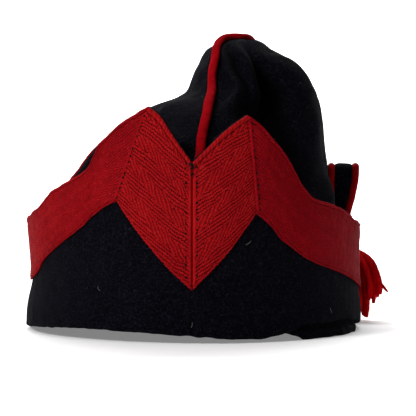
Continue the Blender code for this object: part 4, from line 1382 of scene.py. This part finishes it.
def make_piping(size):
    """Cords along the crown's seams and along the tail's rear edge."""
    middle_out = 0.5 * CORD_GAP + CORD_LIFT * size.piping_rise
    rise, fall, rear = [crown_line(size, route_turn(route), [point[1] for point in route], middle_out, count)
                        for route, count in ((FRONT_ROUTE, 200), (FALL_ROUTE, 200), (REAR_ROUTE, 120))]
    pole = crown_pole(size, middle_out)[None]
    up = np.array([[0.0, 0.0, 1.0]])
    front = (np.concatenate([rise[0], pole, fall[0][::-1]]), np.concatenate([rise[1], up, fall[1][::-1]]))
    rear_at = smooth_curve(TAIL_ROWS, 1)
    tail = crown_line(size, lambda share: beside_cord(size, rear_at(share), share),
                      [row[0] for row in TAIL_ROWS], middle_out, 160)
    cord_on_crown(size, "front_cord", front, "front_piping", 61)
    cord_on_crown(size, "rear_cord", rear, "rear_piping", 62)
    cord_on_crown(size, "tail_cord", tail, "tail_piping", 63)


# Strip

def strip_line(size, lace):
    """Centres, width directions, outward directions and half widths along the strip."""
    index = np.linspace(0.0, len(STRIP_ROWS) - 1.0, STRIP_GRID[0])
    keyed = [(float(i), *row) for i, row in enumerate(STRIP_ROWS)]
    turn, reach, height, width, heading, lean = [smooth_curve(keyed, column)(index)
                                                 for column in range(1, 7)]
    layer = np.where(reach < 0.0, size.turban_thick, LACE_GAP + lace.thick)
    centres = wall_points(size, turn, height * size.peak_height,
                          reach * (STRIP_REACH * size.half_width + layer))
    angle = np.radians(heading)
    tilt = np.radians(lean)[:, None]
    across = np.stack([np.cos(angle), np.sin(angle), 0.0 * angle], -1)
    level = np.stack([np.sin(angle), -np.cos(angle), 0.0 * angle], -1)
    out = level * np.cos(tilt) + np.array([0.0, 0.0, 1.0]) * np.sin(tilt)
    return centres, across, out, 0.5 * size.strip_width * width


def make_strip(size, lace):
    """Flat tip of the tail folded over the turban's edge, with a cord along each edge."""
    centres, across, out, half = strip_line(size, lace)
    flat = half[:, None] - STRIP_FLAT_INSET * size.strip_cord
    angle = np.arange(STRIP_GRID[1]) * 2.0 * math.pi / STRIP_GRID[1]
    squared = np.sign(np.cos(angle)) * np.abs(np.cos(angle)) ** STRIP_SQUARE
    ring = np.stack([flat * squared, 0.5 * size.strip_thick * np.sin(angle) + 0.0 * flat], -1)
    base = centres[:, None] + across[:, None] * ring[..., :1]
    ring[..., 1] *= 1.0 + uneven(base, "strip_slack")
    points, faces = tube(centres, across, out, ring)
    add_piece("strip_cloth", points, faces, cap_material("napped_wool"), ["strip"])
    cord_half = [share * size.strip_cord for share in STRIP_CORD_HALF]
    for side, edge in ((-1.0, "inner"), (1.0, "outer")):
        middle = centres + across * (side * (half + SEWN_GAP))[:, None]
        rings = lumpy_ring(STRIP_CORD_SIDES, len(centres), *cord_half, 72)
        add_cord("strip_cord_" + edge, middle, across, out, rings, "strip_piping_" + edge)


# Tassel

def yarn(path, radius, twist, sides=10):
    """Points and faces of a plied yarn along a path, with its tip drawn in."""
    across = unit(np.cross(unit(np.gradient(path, axis=0)), YARN_ASIDE))
    out = np.cross(across, unit(np.gradient(path, axis=0)))
    share = np.linspace(0.0, 1.0, len(path))[:, None]
    angle = np.arange(sides)[None, :] * 2.0 * math.pi / sides
    plies = 1.0 + PLY_DEPTH * np.cos(PLIES * (angle + twist * share))
    plies = plies + KNOB_DEPTH * np.sin(KNOBS * share + 2.0 * angle)
    tip = np.sqrt(np.clip((1.04 - share) / 0.10, 0.05, 1.0))
    reach = radius * (YARN_BELLY[0] + YARN_BELLY[1] * np.sin(math.pi * share)) * tip * plies
    return tube(path, across, out, np.stack([reach * np.cos(angle), reach * np.sin(angle)], -1))


def joined(parts):
    """Points and faces of several meshes as one."""
    points = []
    faces = []
    start = 0
    for part_points, part_faces in parts:
        points.append(part_points)
        faces += [[start + index for index in face] for face in part_faces]
        start += len(part_points)
    return np.concatenate(points), faces


def make_tassel(size, lace):
    """Wound head with a skirt of thick, loose yarns that follow the locks."""
    strip_end = strip_line(size, lace)[0][-1]
    head = strip_end - np.array([0.0, 0.0, size.tassel_head + SEWN_GAP])
    lock_top = head - np.array([0.0, 0.0, LOCK_START * size.tassel_head])
    random = np.random.default_rng(TASSEL_SEED)
    parts = []
    share = np.linspace(0.0, 1.0, YARN_RINGS)
    thick = np.interp(share, *BULGE_SHARES)
    for heading, reach, length in LOCK_ROWS:
        for strand in range(LOCK_STRANDS):
            angle = math.radians(heading + random.normal() * YARN_HEADING)
            far = max(0.05, reach * (1.0 + YARN_REACH * random.normal()))
            long = min(length * (1.0 + YARN_LENGTH * random.normal()), YARN_LONGEST)
            away = np.array([math.cos(angle), math.sin(angle), 0.0])
            side = np.array([-math.sin(angle), math.cos(angle), 0.0])
            radius = random.uniform(*YARN_RADIUS)
            scatter = random.uniform(-STRAND_SCATTER, STRAND_SCATTER)
            place = 2.0 * math.pi * (strand + scatter) / (LOCK_STRANDS - 1)
            offset = LOCK_DISC * thick if strand > 0 else 0.0 * thick
            swing = size.tassel_spread * far * np.sin(0.5 * math.pi * share ** SWING_CURVE)
            drop = size.tassel_drop * long * share ** (1.0 + DROP_CURVE * far)
            sway = SWAY * np.sin(2.0 * math.pi * (share * random.uniform(1.0, 2.0) + random.uniform()))
            outward = LOCK_ROOT + swing + offset * math.cos(place)
            sideways = sway * share + offset * math.sin(place)
            path = lock_top + away * outward[:, None] + side * sideways[:, None]
            path[:, 2] += STRAND_TILT * offset * math.cos(place) - drop
            path[:, 2] = np.maximum(path[:, 2], YARN_CLEAR * radius + YARN_REST)
            parts.append(yarn(path, radius, random.uniform(*YARN_TWIST)))
    stray = lock_top + np.outer(STRAY_REACH * share, STRAY_WAY)
    stray[:, 2] -= STRAY_DROP * share ** STRAY_CURVE
    parts.append(yarn(stray, STRAY_RADIUS, STRAY_TWIST))
    wound = np.linspace(0.0, 1.0, WINDING_RINGS)
    tilt = (wound - 0.5) * math.pi * WINDING_SPAN
    angle = wound * WINDING_TURNS * 2.0 * math.pi
    coil = np.stack([np.cos(tilt) * np.cos(angle), np.cos(tilt) * np.sin(angle), np.sin(tilt)], -1)
    parts.append(yarn(head + WINDING_REACH * size.tassel_head * coil, WINDING_RADIUS, WINDING_TWIST, sides=8))
    points, faces = joined(parts)
    add_piece("tassel_strands", points, faces, cap_material("plied_yarn"), ["tassel"])


# Stitches and fibres

def geometry_tree(name, sockets):
    """New geometry tree with named number inputs, its input node and its node adder."""
    tree = bpy.data.node_groups.new(name, "GeometryNodeTree")
    tree.interface.new_socket("Geometry", in_out="INPUT", socket_type="NodeSocketGeometry")
    for label in sockets:
        tree.interface.new_socket(label, in_out="INPUT", socket_type="NodeSocketFloat")
    tree.interface.new_socket("Geometry", in_out="OUTPUT", socket_type="NodeSocketGeometry")
    return tree, tree.nodes.new("NodeGroupInput"), node_adder(tree)


def stitch_tree(material):
    """Tree that lays one small rounded stitch along each point's direction."""
    tree, start, add = geometry_tree("stitches", ("Length", "Thickness"))
    bead = add("GeometryNodeMeshIcoSphere", {"Radius": 0.5, "Subdivisions": 2})
    size = add("FunctionNodeRandomValue", {"Min": 0.55, "Max": 1.35, "Seed": 4}, data_type="FLOAT")
    along = add("GeometryNodeInputNamedAttribute", {"Name": "along"}, data_type="FLOAT_VECTOR")
    turned = add("FunctionNodeAlignRotationToVector", {"Vector": along.outputs[0]}, axis="X")
    length, thickness = start.outputs["Length"], start.outputs["Thickness"]
    shape = add("ShaderNodeCombineXYZ", {0: length, 1: thickness, 2: thickness})
    placed = add("GeometryNodeInstanceOnPoints",
                 {"Points": start.outputs["Geometry"], "Instance": bead.outputs["Mesh"],
                  "Rotation": turned.outputs[0], "Scale": shape.outputs[0]})
    sized = add("GeometryNodeScaleInstances", {"Instances": placed.outputs[0], "Scale": size.outputs[1]})
    real = add("GeometryNodeRealizeInstances", {"Geometry": sized.outputs[0]})
    smooth = add("GeometryNodeSetShadeSmooth", {"Geometry": real.outputs[0]})
    painted = add("GeometryNodeSetMaterial", {"Geometry": smooth.outputs[0], "Material": material})
    add("NodeGroupOutput", {"Geometry": painted.outputs[0]})
    return tree


def fibre_tree(material):
    """Tree that scatters short bent fibres over a surface."""
    tree, start, add = geometry_tree("fibres", ("Density", "Length", "Thickness", "Seed"))
    seed = start.outputs["Seed"]
    spots = add("GeometryNodeDistributePointsOnFaces",
                {"Mesh": start.outputs["Geometry"], "Density": start.outputs["Density"], "Seed": seed})
    half = product(add, start.outputs["Length"], 0.5)
    back = product(add, half, -1.0)
    lift = product(add, half, 0.35)
    first = add("ShaderNodeCombineXYZ", {0: back}).outputs[0]
    bend = add("ShaderNodeCombineXYZ", {1: lift, 2: lift}).outputs[0]
    last = add("ShaderNodeCombineXYZ", {0: half, 1: lift}).outputs[0]
    arc = add("GeometryNodeCurveQuadraticBezier",
              {"Resolution": 4, "Start": first, "Middle": bend, "End": last})
    ring = add("GeometryNodeCurvePrimitiveCircle",
               {"Resolution": 3, "Radius": start.outputs["Thickness"]})
    hair = add("GeometryNodeCurveToMesh",
               {"Curve": arc.outputs[0], "Profile Curve": ring.outputs[0], "Fill Caps": True})
    spin = add("FunctionNodeRandomValue", {0: (0.0, 0.0, 0.0), 1: (0.0, 0.0, 2.0 * math.pi), 8: seed},
               data_type="FLOAT_VECTOR")
    turned = add("FunctionNodeRotateRotation", {0: spots.outputs["Rotation"], 1: spin.outputs[0]},
                 rotation_space="LOCAL")
    grown = add("FunctionNodeRandomValue", {2: 0.4, 3: 1.3, 8: seed}, data_type="FLOAT")
    placed = add("GeometryNodeInstanceOnPoints",
                 {"Points": spots.outputs["Points"], "Instance": hair.outputs[0],
                  "Rotation": turned.outputs[0], "Scale": grown.outputs[1]})
    real = add("GeometryNodeRealizeInstances", {"Geometry": placed.outputs[0]})
    painted = add("GeometryNodeSetMaterial", {"Geometry": real.outputs[0], "Material": material})
    add("NodeGroupOutput", {"Geometry": painted.outputs[0]})
    return tree


def grown_piece(name, source, tree, values):
    """Plain mesh piece made by running a geometry tree on a source mesh."""
    holder = add_object(name + "_source", source)
    modifier = holder.modifiers.new(tree.name, "NODES")
    modifier.node_group = tree
    for item in tree.interface.items_tree:
        if item.in_out == "INPUT" and item.name in values:
            modifier[item.identifier] = values[item.name]
    graph = bpy.context.evaluated_depsgraph_get()
    mesh = bpy.data.meshes.new_from_object(holder.evaluated_get(graph), depsgraph=graph)
    mesh.name = name
    bpy.data.objects.remove(holder, do_unlink=True)
    finish_piece(add_object(name, mesh))


def stitch_points(size, turn, height, out, spacing):
    """Evenly spaced points on the wall along a line, with the line's direction at each."""
    line = wall_points(size, turn, height, out)
    share, _ = even_points(line, spacing)
    points = between_points(line, share)
    directions = unit(np.gradient(points, axis=0))
    return points + directions * (spacing * uneven(points, "stitches"))[:, None], directions


def points_mesh(name, groups):
    """Mesh of loose points with their directions."""
    points = np.concatenate([group[0] for group in groups])
    along = np.concatenate([group[1] for group in groups])
    mesh = bpy.data.meshes.new(name)
    mesh.from_pydata(points.tolist(), [], [])
    attribute = mesh.attributes.new("along", "FLOAT_VECTOR", "POINT")
    attribute.data.foreach_set("vector", along.astype(np.float32).ravel())
    return mesh


def make_stitches(size, lace):
    """Stitch holes beside the front seam and the mitres, stitches below the lace, and its knot."""
    out = LACE_GAP + lace.thick + HOLE_RISE
    steps = np.linspace(0.0, 1.0, 60)
    sewn = MITRE_START + MITRE_SPAN * steps
    foot = float(turban_wave(0.0)) * LIFT
    tip = LACE_LEFT[0][3] * size.peak_height
    holes = []
    seam = []
    for rows, way, inset, mitre_inset in zip((LACE_LEFT, LACE_RIGHT), (-1.0, 1.0), HOLE_INSETS, MITRE_INSETS):
        top_turn, top, low_turn, low = lace_panels(rows)[0]
        high = (rows[0][1] - HOLES_TOP) * size.peak_height
        deep = (rows[0][3] + HOLES_LOW) * size.peak_height
        turn = np.full_like(steps, way * math.degrees(inset / size.half_width))
        holes.append(stitch_points(size, turn, deep + (high - deep) * steps, out, lace.stitch_pitch))
        shift = math.degrees(mitre_inset / size.half_width)
        mitre_turn = low_turn(1.0) + (top_turn(1.0) - low_turn(1.0)) * sewn + shift
        mitre_height = (low(1.0) + (top(1.0) - low(1.0)) * sewn) * size.peak_height
        holes.append(stitch_points(size, mitre_turn, mitre_height, out, lace.stitch_pitch))
        turn = np.full_like(steps, way * math.degrees(SEAM_INSET / size.half_width))
        height = foot + SEAM_START + (tip - foot - SEAM_SHORT) * steps
        seam.append(stitch_points(size, turn, height, 0.0, lace.stitch_pitch))
    turn, height, aim_x, aim_z = np.array(NOTCH_KNOT).T
    knot = (wall_points(size, turn, height, out + KNOT_RISE), np.stack([aim_x, 0.0 * aim_x, aim_z], -1))
    tree = stitch_tree(cap_material("dark_thread"))
    grown_piece("stitch_holes", points_mesh("holes", holes), tree, HOLE_SIZE)
    grown_piece("seam_stitches", points_mesh("seam", seam), tree, SEAM_SIZE)
    grown_piece("notch_knot", points_mesh("knot", [knot]), tree, KNOT_SIZE)


def bent_fibre(start, along, side, out, length, bend):
    """Thin bent fibre that lies on a surface."""
    radius = STRAY_FIBRE_RADIUS
    share = np.linspace(0.0, 1.0, 9)
    angle = math.radians(bend) * (share - 0.5)
    step = length / (len(share) - 1)
    shift = np.cumsum(np.stack([np.cos(angle), np.sin(angle)], -1) * step, axis=0)
    lift = radius + STRAY_FIBRE_LIFT * np.sin(math.pi * share)
    path = start + along * shift[:, :1] + side * shift[:, 1:] + out * lift[:, None]
    across, up = line_frames(path, np.broadcast_to(out, path.shape))
    ring = np.broadcast_to(oval(5, radius, radius), (len(share), 5, 2))
    return tube(path, across, up, ring)


def make_fibres(size):
    """Stray light fibres on the turban's front, and fine lint all over the wool."""
    up = np.array([0.0, 0.0, 1.0])
    parts = []
    for turn, height, length, heading, bend in STRAY_FIBRES:
        left, start, right = [wall_points(size, turn + step, height, 0.0) for step in (-0.5, 0.0, 0.5)]
        around = unit(right - left)
        angle = math.radians(heading)
        along = around * math.cos(angle) + up * math.sin(angle)
        side = up * math.cos(angle) - around * math.sin(angle)
        parts.append(bent_fibre(start, along, side, np.cross(around, up), length, bend))
    points, faces = joined(parts)
    add_piece("stray_fibres", points, faces, cap_material("light_fibre"))
    tree = fibre_tree(cap_material("light_fibre"))
    for name, seed in (("turban", 5.0), ("crown", 6.0)):
        grown_piece(name + "_lint", bpy.data.objects[name + "_cloth"].data, tree,
                    {**LINT_SIZE, "Seed": seed})


# Stage

def aim(item, place, look):
    """Put a lamp or the camera at a place and turn it towards a point."""
    item.location = place
    item.rotation_euler = (Vector(look) - Vector(place)).to_track_quat("-Z", "Y").to_euler()


def make_stage(colours):
    """Pale floor that curves up into a backdrop, soft lights and a faint sky."""
    bend_end = BEND_START + BEND_RADIUS
    profile = [(FLOOR_FRONT, 0.0)]
    profile += [(BEND_START + BEND_RADIUS * math.sin(angle), BEND_RADIUS - BEND_RADIUS * math.cos(angle))
                for angle in np.radians(np.linspace(0.0, 90.0, 24))]
    profile += [(bend_end, BACKDROP_HEIGHT)]
    points = [(x, y, z) for y, z in profile for x in (-FLOOR_HALF_WIDTH, FLOOR_HALF_WIDTH)]
    paper = plain_material("floor_paper", tuple(colours.floor), 0.9, 0.01)
    feed(paper.node_tree.nodes["Principled BSDF"],
         {"Emission Color": (*WHITE, 1.0), "Emission Strength": PAPER_GLOW})
    faces = grid_faces(len(profile), 2, wrap_columns=False)
    add_object("floor", plain_mesh("floor", points, faces, paper))
    for name, place, look, power, extent in LAMPS:
        lamp = bpy.data.lights.new(name, "AREA")
        lamp.energy = power
        lamp.shape = "DISK"
        lamp.size = extent
        aim(add_object(name, lamp), place, look)
    world = bpy.data.worlds.new("studio")
    world.use_nodes = True
    feed(world.node_tree.nodes["Background"], {"Color": (*WHITE, 1.0), "Strength": WORLD_LIGHT})
    bpy.context.scene.world = world
    bpy.context.scene.view_settings.view_transform = "Standard"


def make_camera():
    """Camera at the photo's angle: far off and a little above the cap's middle, with a long lens."""
    data = bpy.data.cameras.new("camera")
    data.sensor_width = CAMERA_SENSOR
    data.lens = CAMERA_LENS
    data.clip_start = 0.05
    data.clip_end = 50.0
    camera = add_object("camera", data)
    aim(camera, CAMERA_PLACE, CAMERA_LOOK)
    bpy.context.scene.camera = camera


# Operators

class MakeTurban(bpy.types.Operator):
    """Make the turn-up and the inner band"""
    bl_idname = "cap.turban"
    bl_label = "Turban and band"

    def execute(self, context):
        make_turban(context.scene.cap_sizes)
        make_band(context.scene.cap_sizes)
        return {"FINISHED"}


class MakeLace(bpy.types.Operator):
    """Make the two halves of the lace"""
    bl_idname = "cap.lace"
    bl_label = "Lace"

    def execute(self, context):
        sizes = context.scene.cap_sizes
        lace = context.scene.cap_lace
        make_lace_half(sizes, lace, "lace_left_weave", LACE_LEFT, "lace_left")
        make_lace_half(sizes, lace, "lace_right_weave", LACE_RIGHT, "lace_right")
        return {"FINISHED"}


class MakeCrown(bpy.types.Operator):
    """Make the crown and its tail"""
    bl_idname = "cap.crown"
    bl_label = "Crown and tail"

    def execute(self, context):
        make_crown(context.scene.cap_sizes)
        make_tail(context.scene.cap_sizes)
        return {"FINISHED"}


class MakePiping(bpy.types.Operator):
    """Make the cords on the crown"""
    bl_idname = "cap.piping"
    bl_label = "Piping"

    def execute(self, context):
        make_piping(context.scene.cap_sizes)
        return {"FINISHED"}


class MakeStrip(bpy.types.Operator):
    """Make the folded strip and the tassel on its end"""
    bl_idname = "cap.strip"
    bl_label = "Strip and tassel"

    def execute(self, context):
        make_strip(context.scene.cap_sizes, context.scene.cap_lace)
        make_tassel(context.scene.cap_sizes, context.scene.cap_lace)
        return {"FINISHED"}


class MakeStitches(bpy.types.Operator):
    """Make the stitches, the knot and the stray fibres"""
    bl_idname = "cap.stitches"
    bl_label = "Stitches and fibres"

    def execute(self, context):
        make_stitches(context.scene.cap_sizes, context.scene.cap_lace)
        make_fibres(context.scene.cap_sizes)
        return {"FINISHED"}


class MakeStage(bpy.types.Operator):
    """Make the floor, the lights and the camera"""
    bl_idname = "cap.stage"
    bl_label = "Stage"

    def execute(self, context):
        make_stage(context.scene.cap_colours)
        make_camera()
        return {"FINISHED"}


class CapPanel(bpy.types.Panel):
    """Sizes, colours and steps of the cap"""
    bl_idname = "VIEW3D_PT_side_cap"
    bl_label = "Side Cap"
    bl_space_type = "VIEW_3D"
    bl_region_type = "UI"
    bl_category = "Side Cap"

    def draw(self, context):
        for group in (context.scene.cap_sizes, context.scene.cap_lace, context.scene.cap_colours):
            box = self.layout.box()
            for name in group.bl_rna.properties.keys():
                if name not in ("rna_type", "name"):
                    box.prop(group, name)
        for step in STEPS:
            self.layout.operator(step.bl_idname)


STEPS = (MakeTurban, MakeLace, MakeCrown, MakePiping, MakeStrip, MakeStitches, MakeStage)
GROUPS = (CapSizes, CapLace, CapColours)


def register():
    """Add the classes and the cap's settings."""
    for group in GROUPS + STEPS + (CapPanel,):
        bpy.utils.register_class(group)
    bpy.types.Scene.cap_sizes = bpy.props.PointerProperty(type=CapSizes)
    bpy.types.Scene.cap_lace = bpy.props.PointerProperty(type=CapLace)
    bpy.types.Scene.cap_colours = bpy.props.PointerProperty(type=CapColours)


def unregister():
    """Take the classes and the cap's settings away."""
    del bpy.types.Scene.cap_colours
    del bpy.types.Scene.cap_lace
    del bpy.types.Scene.cap_sizes
    for group in reversed(GROUPS + STEPS + (CapPanel,)):
        bpy.utils.unregister_class(group)


def main():
    """Make the cap and its stage."""
    register()
    for step in (bpy.ops.cap.turban, bpy.ops.cap.lace, bpy.ops.cap.crown, bpy.ops.cap.piping,
                 bpy.ops.cap.strip, bpy.ops.cap.stitches, bpy.ops.cap.stage):
        step()


if __name__ == "__main__":
    main()
